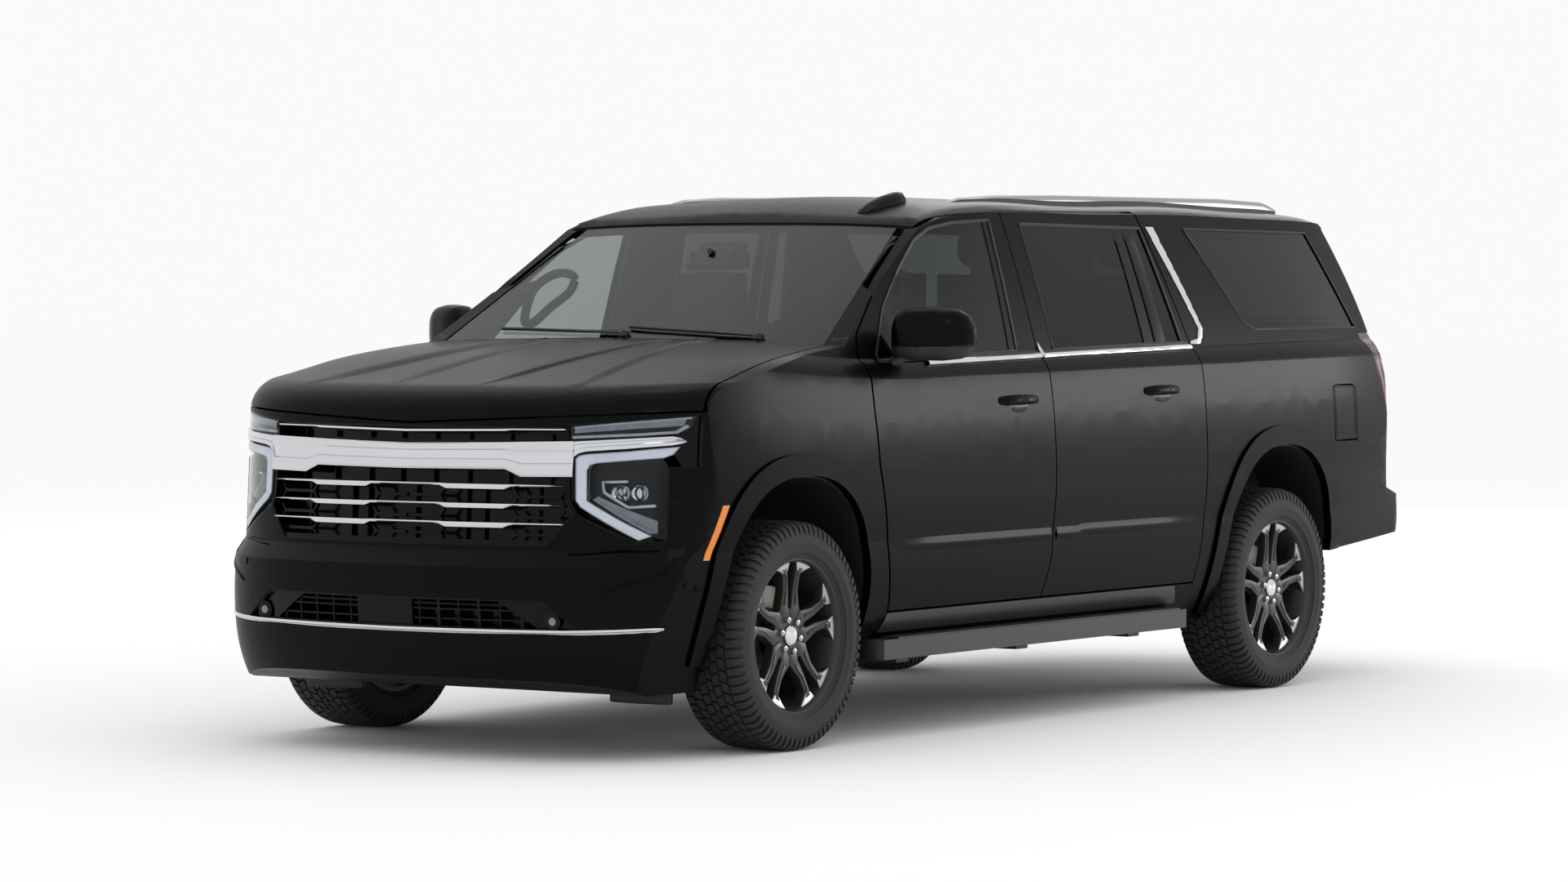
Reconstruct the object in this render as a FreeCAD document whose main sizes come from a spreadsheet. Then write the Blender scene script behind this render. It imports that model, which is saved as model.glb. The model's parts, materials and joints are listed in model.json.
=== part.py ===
import FreeCAD, Part
import math
import os
from types import SimpleNamespace

# Long-wheelbase sport utility vehicle.
# X points forward, Y to the vehicle's left and Z up.
# The origin lies on the ground, midway along and across the vehicle.

V = FreeCAD.Vector
doc = FreeCAD.newDocument("LongSportUtility")

SIZES = {
    "overall_length": 5738.0,
    "half_width": 1029.5,
    "roof_height": 1920.0,
    "wheelbase": 3407.0,
    "front_overhang": 991.0,
    "half_track": 870.0,
    "tyre_radius": 395.0,
    "tyre_width": 275.0,
    "rim_radius": 272.0,
    "rim_width": 228.0,
    "hub_radius": 72.0,
    "hub_depth": 60.0,
    "spoke_root_width": 46.0,
    "spoke_tip_width": 56.0,
    "spoke_depth": 42.0,
    "spoke_setback": 24.0,
    "disc_radius": 178.0,
    "disc_thickness": 30.0,
    "caliper_width": 90.0,
    "kingpin_inset": 40.0,
    "shut_gap": 7.0,
    "trim_gap": 0.4,
    "panel_wall": 35.0,
    "door_outer_wall": 45.0,
    "door_wall": 120.0,
    "door_flange": 40.0,
    "pillar_gap": 9.0,
    "side_wall": 110.0,
    "glass_inset": 5.0,
    "glass_wall": 5.0,
    "hinge_lead": 54.0,
    "hinge_inset": 12.0,
    "floor_height": 445.0,
    "floor_wall": 30.0,
    "arch_half_length": 447.0,
    "front_arch_height": 549.0,
    "rear_arch_height": 567.0,
    "flare_width": 78.0,
    "flare_stand": 12.0,
    "liner_wall": 5.0,
    "rail_offset": 440.0,
    "rail_width": 76.0,
    "rail_depth": 150.0,
    "crossmember_width": 90.0,
    "board_wall": 70.0,
    "board_height": 318.0,
    "roof_rail_width": 42.0,
    "roof_rail_offset": 640.0,
    "seat_width": 540.0,
    "seat_depth": 520.0,
    "seat_thickness": 150.0,
    "seat_back_height": 640.0,
    "seat_back_thickness": 140.0,
    "seat_height": 330.0,
    "headrest_width": 270.0,
    "headrest_height": 190.0,
    "headrest_thickness": 100.0,
    "front_seat_offset": 400.0,
    "steering_radius": 190.0,
    "steering_rim": 15.0,
    "engine_length": 640.0,
    "engine_width": 560.0,
    "engine_height": 560.0,
    "axle_tube_radius": 38.0,
    "arm_thickness": 40.0,
    "knuckle_drop": 150.0,
    "knuckle_rise": 190.0,
    "strut_inset": 235.0,
    "strut_radius": 50.0,
    "strut_length": 420.0,
    "receiver_size": 64.0,
    "receiver_wall": 6.6,
    "receiver_length": 300.0,
    "receiver_drop": 70.0,
}

sheet = doc.addObject("Spreadsheet::Sheet", "Sizes")
for row, (alias, value) in enumerate(SIZES.items(), start=1):
    sheet.set("A%d" % row, alias)
    sheet.set("B%d" % row, str(value))
    sheet.setAlias("B%d" % row, alias)
doc.recompute()
S = SimpleNamespace(**{alias: float(sheet.get(alias)) for alias in SIZES})

FRONT_END = S.overall_length / 2
FRONT_AXLE = FRONT_END - S.front_overhang
REAR_AXLE = FRONT_AXLE - S.wheelbase
REAR_OVERHANG = S.overall_length - S.front_overhang - S.wheelbase
AXLE_HEIGHT = S.tyre_radius


def along(share):
    """Length place: 2 is the front end, 1 the front axle, 0 the rear axle, -1 the rear end."""
    if share > 1:
        return FRONT_AXLE + (share - 1) * S.front_overhang
    if share < 0:
        return REAR_AXLE + share * REAR_OVERHANG
    return REAR_AXLE + share * S.wheelbase


def height(share):
    """Height above the ground as a share of the roof's height."""
    return share * S.roof_height


def across(share):
    """Distance from the centre plane as a share of the half width."""
    return share * S.half_width


def vector(point, axis):
    """Point of a flat outline, set in the plane whose normal is the named axis at zero."""
    if axis == "x":
        return V(0, point[0], point[1])
    if axis == "y":
        return V(point[0], 0, point[1])
    return V(point[0], point[1], 0)


def polygon(points, axis="y"):
    """Closed wire through flat points."""
    corners = [vector(point, axis) for point in points]
    return Part.makePolygon(corners + corners[:1])


def prism(points, axis, low, high):
    """Flat outline pushed along an axis from low to high."""
    direction = {"x": V(1, 0, 0), "y": V(0, 1, 0), "z": V(0, 0, 1)}[axis]
    face = Part.Face(polygon(points, axis))
    face.translate(direction * low)
    return face.extrude(direction * (high - low))


def block(x_low, x_high, y_low, y_high, z_low, z_high):
    """Box from its lowest and highest corners."""
    return Part.makeBox(x_high - x_low, y_high - y_low, z_high - z_low, V(x_low, y_low, z_low))


def mirrored(shape):
    """The same shape on the other side of the vehicle."""
    return shape.mirror(V(0, 0, 0), V(0, 1, 0))


def signed_area(points):
    """Area of a closed outline, positive when it runs anticlockwise."""
    pairs = zip(points, points[1:] + points[:1])
    return sum(a[0] * b[1] - b[0] * a[1] for a, b in pairs) / 2


def inset_outline(points, inset):
    """Closed outline moved inwards by a distance, each corner along its mitre."""
    turn = 1 if signed_area(points) > 0 else -1
    count = len(points)
    moved = []
    for index, point in enumerate(points):
        before = points[index - 1]
        after = points[(index + 1) % count]
        into = V(point[0] - before[0], point[1] - before[1], 0).normalize()
        out = V(after[0] - point[0], after[1] - point[1], 0).normalize()
        normal_in = V(-into.y, into.x, 0) * turn
        normal_out = V(-out.y, out.x, 0) * turn
        mitre = (normal_in + normal_out) / (1 + normal_in.dot(normal_out))
        moved.append((point[0] + mitre.x * inset, point[1] + mitre.y * inset))
    return moved


def curve(points):
    """Edge through three-dimensional points: a line for two, a smooth curve for more."""
    if len(points) == 2:
        return Part.LineSegment(points[0], points[1]).toShape()
    spline = Part.BSplineCurve()
    spline.interpolate(points)
    return spline.toShape()


def spans_wire(points, breaks):
    """Closed wire whose edges run between the break points of a closed outline."""
    edges = []
    loop = points + points[:1]
    for first, last in zip(breaks, breaks[1:] + [len(points)]):
        edges.append(curve(loop[first:last + 1]))
    return Part.Wire(edges)


# Half section of the body, from the sill's corner up to the roof's centre:
# shares of the half width and the roof height, then how far each point
# follows the rise of the belt line and the drop of the roof line.
SECTION_SHARES = [
    (0.8742, 0.1562, 0.0, 0.0),
    (0.9373, 0.2240, 0.0, 0.0),
    (0.9713, 0.2917, 0.0, 0.0),
    (0.9830, 0.3646, 0.0, 0.0),
    (0.9976, 0.4271, 0.0, 0.0),
    (1.0000, 0.4948, 0.0, 0.0),
    (0.9917, 0.5833, 0.5, 0.0),
    (0.9743, 0.6604, 1.0, 0.0),
    (0.9500, 0.6833, 1.0, 0.0),
    (0.9189, 0.6979, 1.0, 0.0),
    (0.8548, 0.8281, 0.5, 0.3),
    (0.7722, 0.9698, 0.0, 0.6),
    (0.7237, 0.9826, 0.0, 0.8),
    (0.6400, 0.9885, 0.0, 0.9),
    (0.3885, 0.9955, 0.0, 1.0),
    (0.2000, 0.9986, 0.0, 1.0),
    (0.0000, 1.0000, 0.0, 1.0),
]
SECTION_BREAKS = [0, 3, 7, 9, 11, 21, 23, 25, 29, 32]
PLAIN_POINTS = [0, 2, 4, 6, 7, 9, 11, 14, 16]
PLAIN_BREAKS = [0, 4, 5, 6, 10, 11, 12, 16]
CANT_INDEX = 10

# Stations along the body: place, width share below the belt, width share of
# the roof, and the belt's rise and the roof's drop as shares of the height.
STATION_SHARES = [
    (2.1065, 0.890, 0.890, 0.0104, 0.0990),
    (1.7028, 0.935, 0.900, 0.0130, 0.0990),
    (1.2992, 0.974, 0.920, 0.0198, 0.0990),
    (0.9403, 0.989, 0.945, 0.0052, 0.0990),
    (0.7642, 0.987, 0.965, -0.0026, 0.0938),
    (0.6644, 0.986, 0.982, 0.0000, 0.0339),
    (0.5881, 0.986, 0.995, 0.0010, 0.0063),
    (0.4119, 0.985, 1.000, 0.0042, 0.0000),
    (0.2065, 0.986, 1.000, 0.0078, 0.0000),
    (0.0304, 0.989, 0.996, 0.0115, 0.0042),
    (-0.2996, 0.979, 0.982, 0.0141, 0.0104),
    (-0.5795, 0.955, 0.955, 0.0156, 0.0234),
    (-1.0795, 0.900, 0.900, 0.0156, 0.0677),
]
NOSE_BOTTOM_SHARE = 0.1177
NOSE_START_SHARE = 1.2


def section_points(station):
    """Half section points at a station, as distances across and heights."""
    place, width, top_width, rise, drop = station
    points = []
    for index, (side, level, follow_belt, follow_roof) in enumerate(SECTION_SHARES):
        scale = top_width if index > CANT_INDEX else width
        if index == CANT_INDEX:
            scale = (width + top_width) / 2
        lift = follow_belt * rise - follow_roof * drop
        if index == 0 and place > NOSE_START_SHARE:
            level = NOSE_BOTTOM_SHARE
        points.append((across(side * scale), height(level + lift)))
    return points


def side_body(inset, plain=False):
    """Body bounded by the sides and roof, set in by a distance.

    A plain body leaves out the tight corners, which a deep inset would close up.
    """
    wires = []
    for station in STATION_SHARES:
        half = section_points(station)
        if plain:
            half = [half[index] for index in PLAIN_POINTS]
        full = half + [(-y, z) for y, z in reversed(half[:-1])]
        outline = inset_outline(full, inset)
        place = along(station[0])
        breaks = PLAIN_BREAKS if plain else SECTION_BREAKS
        wires.append(spans_wire([V(place, y, z) for y, z in outline], breaks))
    return Part.makeLoft(wires, True, False, False, 3)


# Centre profile: place, height, and how far each point follows the plan curve
# of the front end, the crown of the hood, the sweep of the windshield and the
# plan curve of the rear end.
PROFILE_SHARES = [
    (-0.9377, 0.2708, 0, 0, 0, 1),
    (-0.4078, 0.1562, 0, 0, 0, 0),
    (1.7533, 0.1177, 0.9, 0, 0, 0),
    (1.9248, 0.1177, 1, 0, 0, 0),
    (1.9733, 0.1719, 1, 0, 0, 0),
    (2.0000, 0.2698, 1, 0, 0, 0),
    (1.9914, 0.3411, 1, 0, 0, 0),
    (1.9349, 0.3708, 1, 0, 0, 0),
    (1.9077, 0.5922, 1, 0.4, 0, 0),
    (1.8966, 0.6198, 1, 0.7, 0, 0),
    (1.8491, 0.6417, 1, 0.9, 0, 0),
    (1.7533, 0.6573, 0.95, 1, 0, 0),
    (1.5212, 0.6760, 0.7, 1, 0, 0),
    (1.1983, 0.7021, 0.2, 1, 0, 0),
    (0.9843, 0.7188, 0, 1, 0, 0),
    (0.8918, 0.7312, 0, 0.8, 0.6, 0),
    (0.5402, 1.0938, 0, 0, 1, 0),
    (-0.5720, 1.0938, 0, 0, 0, 0.6),
    (-0.5907, 0.9609, 0, 0, 0, 0.6),
    (-0.6989, 0.8542, 0, 0, 0, 0.7),
    (-0.8183, 0.7292, 0, 0, 0, 0.9),
    (-0.8780, 0.6927, 0, 0, 0, 1),
    (-0.9078, 0.6510, 0, 0, 0, 1),
    (-0.9250, 0.5260, 0, 0, 0, 1),
    (-0.9250, 0.3958, 0, 0, 0, 1),
    (-0.9937, 0.3802, 0, 0, 0, 1),
    (-1.0000, 0.3333, 0, 0, 0, 1),
    (-0.9899, 0.2917, 0, 0, 0, 1),
]
PROFILE_BREAKS = [0, 1, 2, 3, 6, 7, 8, 11, 15, 16, 17, 18, 20, 24, 25]
ACROSS_SHARES = [-1.06, -0.97, -0.90, -0.80, -0.65, -0.35, 0.0, 0.35, 0.65, 0.80, 0.90, 0.97, 1.06]
FRONT_SWEEP_SHARES = [(0.213, 2.2), (0.300, 8.0)]
REAR_SWEEP_SHARES = [(0.087, 2.2), (0.215, 8.0)]
CROWN_SHARES = [(0.0115, 2.2), (0.0200, 12.0)]
GLASS_SWEEP_SHARES = [(0.020, 3.0)]
NOSE_LIFT_SHARE = 0.13


def sweep(shares, side, reach):
    """How far a plan curve has fallen back at a place across the vehicle."""
    return reach * sum(size * abs(side) ** power for size, power in shares)


def profile_points(side):
    """Profile of the body at a share of the half width."""
    back = sweep(FRONT_SWEEP_SHARES, side, S.front_overhang)
    rear = sweep(REAR_SWEEP_SHARES, side, REAR_OVERHANG)
    crown = sweep(CROWN_SHARES, side, S.roof_height)
    glass = sweep(GLASS_SWEEP_SHARES, side, S.wheelbase)
    points = []
    for place, level, front, hood, screen, tail in PROFILE_SHARES:
        shift = front * back
        lift = NOSE_LIFT_SHARE * shift * hood - crown * hood
        x = along(place) - shift - screen * glass + tail * rear
        points.append((x, height(level) + lift))
    return points


def profile_body(inset):
    """Body bounded by the front, hood, windshield and rear, set in by a distance."""
    wires = []
    for side in ACROSS_SHARES:
        outline = inset_outline(profile_points(side), inset)
        wires.append(spans_wire([V(x, across(side), z) for x, z in outline], PROFILE_BREAKS))
    return Part.makeLoft(wires, True, False, False, 3)


def body(inset):
    """The whole body, set in by a distance."""
    return side_body(inset).common(profile_body(inset))


SIDE_OUT = across(1.2)
FAR_FRONT = along(2.3)
FAR_REAR = along(-1.3)
FAR_UP = height(1.3)


def places(shares):
    """Side-view points from length and height shares."""
    return [(along(place), height(level)) for place, level in shares]


def fronts(shares):
    """Front-view points from width and height shares."""
    return [(across(side), height(level)) for side, level in shares]


def plans(shares):
    """Plan-view points from length and width shares."""
    return [(along(place), across(side)) for place, side in shares]


def shifted(points, amount):
    """Closed outline made larger by an amount."""
    return inset_outline(points, -amount)


def side_prism(points, low=0.0):
    """Side-view outline pushed out through the left side from a distance."""
    return prism(points, "y", low, SIDE_OUT)


def pair(shape):
    """A left piece and its mirror image."""
    return Part.makeCompound(shape.Solids + mirrored(shape).Solids)


def largest(shape):
    """The main solid of a cut, without slivers."""
    return max(shape.Solids, key=lambda solid: solid.Volume)


FEATURES = {}


def feature(name, shape):
    """Sub-part whose shape comes from surfaces that no primitive gives."""
    item = doc.addObject("Part::Feature", name)
    item.Shape = shape
    item.Label = name
    FEATURES[name] = item
    return item


def listed(name, item):
    """Sub-part made of bound primitives and booleans."""
    item.Label = name
    FEATURES[name] = item
    return item


# Door outlines, side view.
LEAD_SHARES = [
    (0.8211, 0.2318), (0.8399, 0.3620), (0.8616, 0.5031), (0.8669, 0.6073), (0.8669, 0.6979),
    (0.8543, 0.7401), (0.8305, 0.7703), (0.7750, 0.8422), (0.7237, 0.9052), (0.6808, 0.9401),
    (0.6424, 0.9594), (0.5904, 0.9677), (0.5258, 0.9719),
]
MIDDLE_SHARES = [(0.5258, 0.9719), (0.5132, 0.7292), (0.5128, 0.7000), (0.5094, 0.3125), (0.5161, 0.2318)]
TRAIL_SHARES = [(0.2355, 0.9740), (0.1801, 0.7188), (0.1801, 0.7000), (0.1801, 0.3646), (0.1845, 0.2318)]
BELT_SHARE = 0.71
REAR_DRAFT_SHARE = 0.25
FRONT_GLASS_SHARES = [
    (0.8352, 0.6922), (0.7891, 0.7870), (0.7336, 0.8661), (0.6955, 0.9151), (0.6641, 0.9375),
    (0.6224, 0.9479), (0.5522, 0.9542), (0.5528, 0.7042),
]
REAR_GLASS_SHARES = [(0.4915, 0.9474), (0.4768, 0.7052), (0.1959, 0.7140), (0.2332, 0.9422)]
QUARTER_GLASS_SHARES = [
    (0.1349, 0.9422), (-0.4325, 0.9370), (-0.6205, 0.7380), (0.0195, 0.7375), (0.0459, 0.7510),
]
FENDER_LIMIT_SHARES = [(0.8904, 0.7302), (0.9403, 0.8854), (2.2074, 0.8854), (2.2074, 0.1042), (0.8211, 0.1042)]
BUMPER_SEAM_SHARES = [
    (1.4001, 0.1042), (1.4506, 0.4479), (1.4707, 0.4609), (1.5252, 0.5677), (1.5252, 0.6250),
    (2.2074, 0.6250), (2.2074, 0.1042),
]
REAR_BUMPER_SHARES = [(0.0, 0.1042), (0.0, 0.44), (-0.2795, 0.4625), (-0.6317, 0.4885), (-0.7437, 0.5250),
                      (-1.2, 0.5250), (-1.2, 0.1042)]
TAIL_LAMP_SHARES = [(-0.6310, 0.7266), (-0.7437, 0.5250), (-1.2, 0.5250), (-1.2, 0.7266)]
LAMP_SHARES = [
    (0.6042, 0.5896), (0.9354, 0.6068), (0.9354, 0.5156), (0.8791, 0.5156), (0.8791, 0.3865),
    (0.8111, 0.3844), (0.6362, 0.4333), (0.6100, 0.4583), (0.6042, 0.5365),
]
GRILLE_SHARES = [(0.0, 0.5859), (0.5983, 0.5859), (0.5983, 0.5391), (0.6042, 0.4583), (0.6270, 0.4333),
                 (0.5440, 0.3792), (0.0, 0.3771)]
GATE_SHARES = [(0.0, 0.3984), (0.7576, 0.3984), (0.7625, 0.5250), (0.7771, 0.7292), (0.6702, 0.9550),
               (0.6702, 1.2), (0.0, 1.2)]
GATE_GLASS_SHARES = [(0.0, 0.7500), (0.7350, 0.7500), (0.6350, 0.9300), (0.0, 0.9350)]
INTAKE_SHARES = [(0.0, 0.2330), (0.6960, 0.2330), (0.5630, 0.2865), (0.0, 0.2865)]
HOOD_REAR_SHARE = 0.8958
HOOD_PLAN_SHARES = [(0.8958, 0.0), (0.8968, 0.8431), (1.5232, 0.9325), (2.3, 0.9325), (2.3, 0.0)]
HOOD_EDGE_SHARES = [(0.0, 0.5920), (0.9325, 0.6140), (1.2, 0.6140), (1.2, 0.0), (0.0, 0.0)]
SCREEN_PLAN_SHARES = [(0.8904, 0.0), (0.8904, 0.8111), (0.6820, 0.6702), (0.6820, 0.0)]
ROOF_SPLIT_SHARE = 0.7353
COWL_END_SHARE = 0.8111
GATE_SEAM_SHARE = -0.4675
ROOF_FRONT_SHARE = 0.6800


def both_sides(points):
    """Outline drawn for the left half, completed on the right half."""
    far_side = [(x, -y) for x, y in reversed(points) if y > 0]
    return points + far_side


def both_widths(points):
    """Front-view outline drawn for the left half, completed on the right half."""
    return points + [(-y, z) for y, z in reversed(points) if y > 0]


def side_distance(z):
    """Half width of the body's side at a height, at the doors."""
    points = section_points(STATION_SHARES[7])
    for (y_low, z_low), (y_high, z_high) in zip(points, points[1:]):
        if z_low <= z <= z_high and z_high > z_low:
            return y_low + (y_high - y_low) * (z - z_low) / (z_high - z_low)
    return points[CANT_INDEX + 1][0]


def door_tool(outline, rear_count, grow):
    """Solid that cuts a door or its opening out of the side.

    Its upper rear edge leans forward with depth, so that the door clears
    what stands behind it as it swings.
    """
    depth = across(1) - across(0.68)
    first_rear = len(outline) - rear_count
    near = []
    far = []
    for index, (x, z) in enumerate(shifted(outline, grow)):
        lean = REAR_DRAFT_SHARE if index >= first_rear and z > height(BELT_SHARE) else 0.0
        skin = side_distance(z)
        near.append((x - lean * (across(1) + S.flare_stand * 2 - skin), z))
        far.append((x + lean * (skin - across(0.6)), z))
    outer_wire = polygon(near)
    outer_wire.translate(V(0, across(1) + S.flare_stand * 2, 0))
    inner_wire = polygon(far)
    inner_wire.translate(V(0, across(0.6), 0))
    return Part.makeLoft([inner_wire, outer_wire], True, True)


front_door_outline = places(LEAD_SHARES + MIDDLE_SHARES[1:])
rear_door_outline = places(list(reversed(MIDDLE_SHARES)) + TRAIL_SHARES)
half_gap = S.shut_gap / 2

# Bodies at the depths where panels, doors and glass begin and end.
outer = body(0)
panel_core = body(S.panel_wall)
glass_outer = body(S.glass_inset)
glass_core = body(S.glass_inset + S.glass_wall)
side_outer = side_body(0)
door_split = side_body(S.door_outer_wall)
door_core = side_body(S.door_wall, True)
wall_core = side_body(S.side_wall, True)
deep_core = side_body(S.door_outer_wall + S.pillar_gap)
inner_profile = profile_body(S.panel_wall + S.trim_gap)
pillar_profile = profile_body(S.door_outer_wall)
lip_shell = side_body(-S.flare_stand).cut(side_body(-S.trim_gap)).common(profile_body(-S.flare_stand))

left_space = block(FAR_REAR, FAR_FRONT, across(0.3), SIDE_OUT, 0, FAR_UP)


def cabin_prism(inset):
    """Inner space from the firewall to the rear gate, as a block across the vehicle."""
    floor = S.floor_height
    outline = [
        (along(0.8816), floor), (along(0.8816), height(0.70)), (along(0.62), height(0.93)),
        (along(0.58), height(0.955)), (along(-0.50), height(0.945)), (along(-0.76), height(0.72)),
        (along(-0.87), height(0.60)), (along(-0.87), floor),
    ]
    return prism(outline, "y", -SIDE_OUT, SIDE_OUT)


cabin_core = wall_core.common(cabin_prism(0))


def arch(axle_x, half_length, arch_height, grow, low, high):
    """Wheel opening as a rounded prism across the side, open to the ground."""
    power = 2.4
    steps = 8
    corners = []
    for step in range(-steps, steps + 1):
        turn = math.pi / 2 * step / steps
        x = math.copysign(abs(math.sin(turn)) ** (2 / power), turn) * (half_length + grow)
        z = abs(math.cos(turn)) ** (2 / power) * (arch_height + grow)
        corners.append(V(axle_x + x, 0, AXLE_HEIGHT + z))
    start = V(corners[0].x, 0, 0)
    end = V(corners[-1].x, 0, 0)
    foot = [Part.LineSegment(corners[-1], end).toShape(), Part.LineSegment(end, start).toShape(),
            Part.LineSegment(start, corners[0]).toShape()]
    face = Part.Face(Part.Wire([curve(corners)] + foot))
    face.translate(V(0, low, 0))
    return face.extrude(V(0, high - low, 0))


ARCHES = [
    (FRONT_AXLE, S.arch_half_length, S.front_arch_height),
    (REAR_AXLE, S.arch_half_length, S.rear_arch_height),
]
arch_cuts = [arch(*place, 0, across(0.45), SIDE_OUT) for place in ARCHES]

# Panels of the front end.
hood_plan = both_sides(plans(HOOD_PLAN_SHARES))
hood_region = prism(hood_plan, "z", height(0.55), FAR_UP)
hood_edge = prism(both_widths(fronts(HOOD_EDGE_SHARES)), "x", along(0.95), FAR_FRONT)
panel_shell = outer.cut(panel_core)
hood = panel_shell.common(hood_region).cut(hood_edge)
feature("hood", largest(hood))

front_zone = side_prism(shifted(places(LEAD_SHARES[:6] + FENDER_LIMIT_SHARES), 0), across(0.3))
hood_space = prism(shifted(hood_plan, S.shut_gap), "z", height(0.55), FAR_UP)
bumper_zone = side_prism(places(BUMPER_SEAM_SHARES), 0)
bumper_zone_gap = side_prism(shifted(places(BUMPER_SEAM_SHARES), S.trim_gap), 0)
lead_gap = side_prism(shifted(front_door_outline, half_gap * 2), across(0.3))

left_shell = panel_shell.common(left_space)
fender = left_shell.common(front_zone).cut(hood_space).cut(bumper_zone_gap).cut(lead_gap).cut(arch_cuts[0])
cowl_corner = block(FAR_REAR, along(HOOD_REAR_SHARE), 0, across(COWL_END_SHARE) + S.trim_gap, 0, FAR_UP)
fender = fender.cut(cowl_corner).cut(deep_core.common(block(FAR_REAR, along(HOOD_REAR_SHARE), 0, SIDE_OUT, 0, FAR_UP)))
fender = largest(fender)


def flare(place, low_end):
    """Raised lip around a wheel opening."""
    ring = lip_shell.common(arch(*place, S.flare_width, across(0.5), SIDE_OUT))
    ring = ring.cut(arch(*place, 0, across(0.45), SIDE_OUT))
    keep = block(place[0] - S.overall_length / 4, place[0] + S.overall_length / 4,
                 across(0.5), SIDE_OUT, low_end, FAR_UP)
    return ring.common(keep)


front_flare = flare(ARCHES[0], height(0.165))
rear_flare = flare(ARCHES[1], height(0.165))

lamp_tool = prism(fronts(LAMP_SHARES), "x", along(1.45), FAR_FRONT)
lamp_space = prism(shifted(fronts(LAMP_SHARES), S.trim_gap), "x", along(1.4), FAR_FRONT)
feature("front_fenders", pair(largest(fender.cut(lamp_space))))

grille_outline = both_widths(fronts(GRILLE_SHARES))
grille_tool = prism(grille_outline, "x", along(1.4), FAR_FRONT)
grille_space = prism(shifted(grille_outline, S.trim_gap), "x", along(1.4), FAR_FRONT)
intake_outline = both_widths(fronts(INTAKE_SHARES))
intake_space = prism(shifted(intake_outline, S.trim_gap), "x", along(1.4), FAR_FRONT)
intake_tool = prism(intake_outline, "x", along(1.4), FAR_FRONT)

bumper_region = bumper_zone.fuse(mirrored(bumper_zone))
hood_edge_low = [(y, z - S.shut_gap) for y, z in fronts(HOOD_EDGE_SHARES)[:3]]
edge_low = both_widths(hood_edge_low + [(across(1.2), 0), (0.0, 0.0)])
under_hood = prism(edge_low, "x", along(1.3), FAR_FRONT)
fascia = panel_shell.common(bumper_region).common(under_hood)
fascia = fascia.cut(lamp_space).cut(mirrored(lamp_space)).cut(grille_space).cut(intake_space)
fascia = fascia.cut(arch_cuts[0]).cut(mirrored(arch_cuts[0]))
feature("front_bumper", largest(fascia))

nose_mesh = body(S.panel_wall * 0.8)
nose_back = body(S.panel_wall * 1.6)
lamp_face = body(S.panel_wall * 0.15)
lamp = lamp_face.cut(nose_back).common(lamp_tool)
feature("headlamps", pair(largest(lamp)))
mesh = nose_mesh.cut(nose_back)
grille = mesh.common(grille_tool)
bars = lamp_face.cut(nose_back).common(grille_tool)
BAR_SHARES = [(0.5391, 0.5650), (0.4700, 0.4790), (0.4390, 0.4480), (0.4060, 0.4150)]
grille_parts = [largest(grille)]
for low_share, high_share in BAR_SHARES:
    slab = block(along(1.3), FAR_FRONT, -across(1), across(1), height(low_share), height(high_share))
    grille_parts.append(largest(bars.common(slab)))
grille = grille_parts[0].fuse(grille_parts[1:]).removeSplitter()
intake = largest(mesh.common(intake_tool))
feature("grille", Part.makeCompound([largest(grille), intake]))

# Cabin sides, with the door openings, pillars and rear quarters.
screen_plan = both_sides(plans(SCREEN_PLAN_SHARES))
side_plan = plans([
    (-1.2, ROOF_SPLIT_SHARE), (ROOF_FRONT_SHARE, ROOF_SPLIT_SHARE), (0.6820, 0.6702 + 0.003),
    (0.8904, 0.8111 + 0.003), (0.95, 0.80), (0.95, 1.2), (-1.2, 1.2),
])
side_region = prism(side_plan, "z", 0, FAR_UP)
side_wall = outer.common(side_region).cut(cabin_core)
outer_tools = []
for outline, count in ((front_door_outline, 5), (rear_door_outline, 5)):
    outer_tools.append(door_tool(outline, count, half_gap))
for tool in outer_tools + [front_zone]:
    side_wall = side_wall.cut(tool.cut(deep_core))


def inner_outline(points):
    """Door outline set in by the flange that laps its opening."""
    return inset_outline(points, S.door_flange)


inner_spaces = []
for outline, count in ((front_door_outline, 5), (rear_door_outline, 5)):
    inner_spaces.append(door_tool(inner_outline(outline), count, S.pillar_gap))
for tool in inner_spaces:
    side_wall = side_wall.cut(tool)

quarter_outline = places(QUARTER_GLASS_SHARES)
quarter_space = side_prism(quarter_outline, across(0.5))
rear_bumper_zone = side_prism(places(REAR_BUMPER_SHARES), 0)
rear_bumper_gap = side_prism(shifted(places(REAR_BUMPER_SHARES), S.trim_gap), 0)
tail_tool = side_prism(places(TAIL_LAMP_SHARES), across(0.775))
tail_space = side_prism(shifted(places(TAIL_LAMP_SHARES), S.trim_gap), across(0.772))
gate_outline = both_widths(fronts(GATE_SHARES))
gate_space = prism(shifted(gate_outline, S.shut_gap), "x", FAR_REAR, along(GATE_SEAM_SHARE) + S.shut_gap)
side_wall = side_wall.cut(quarter_space).cut(rear_bumper_gap).cut(arch_cuts[1])
side_wall = side_wall.cut(arch(*ARCHES[0], S.liner_wall * 4, across(0.3), SIDE_OUT))
side_wall = side_wall.cut(gate_space).cut(tail_space.cut(panel_core))
side_wall = side_wall.cut(block(along(0.8904), FAR_FRONT, 0, SIDE_OUT, height(0.60), FAR_UP))
side_wall = largest(side_wall)

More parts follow.
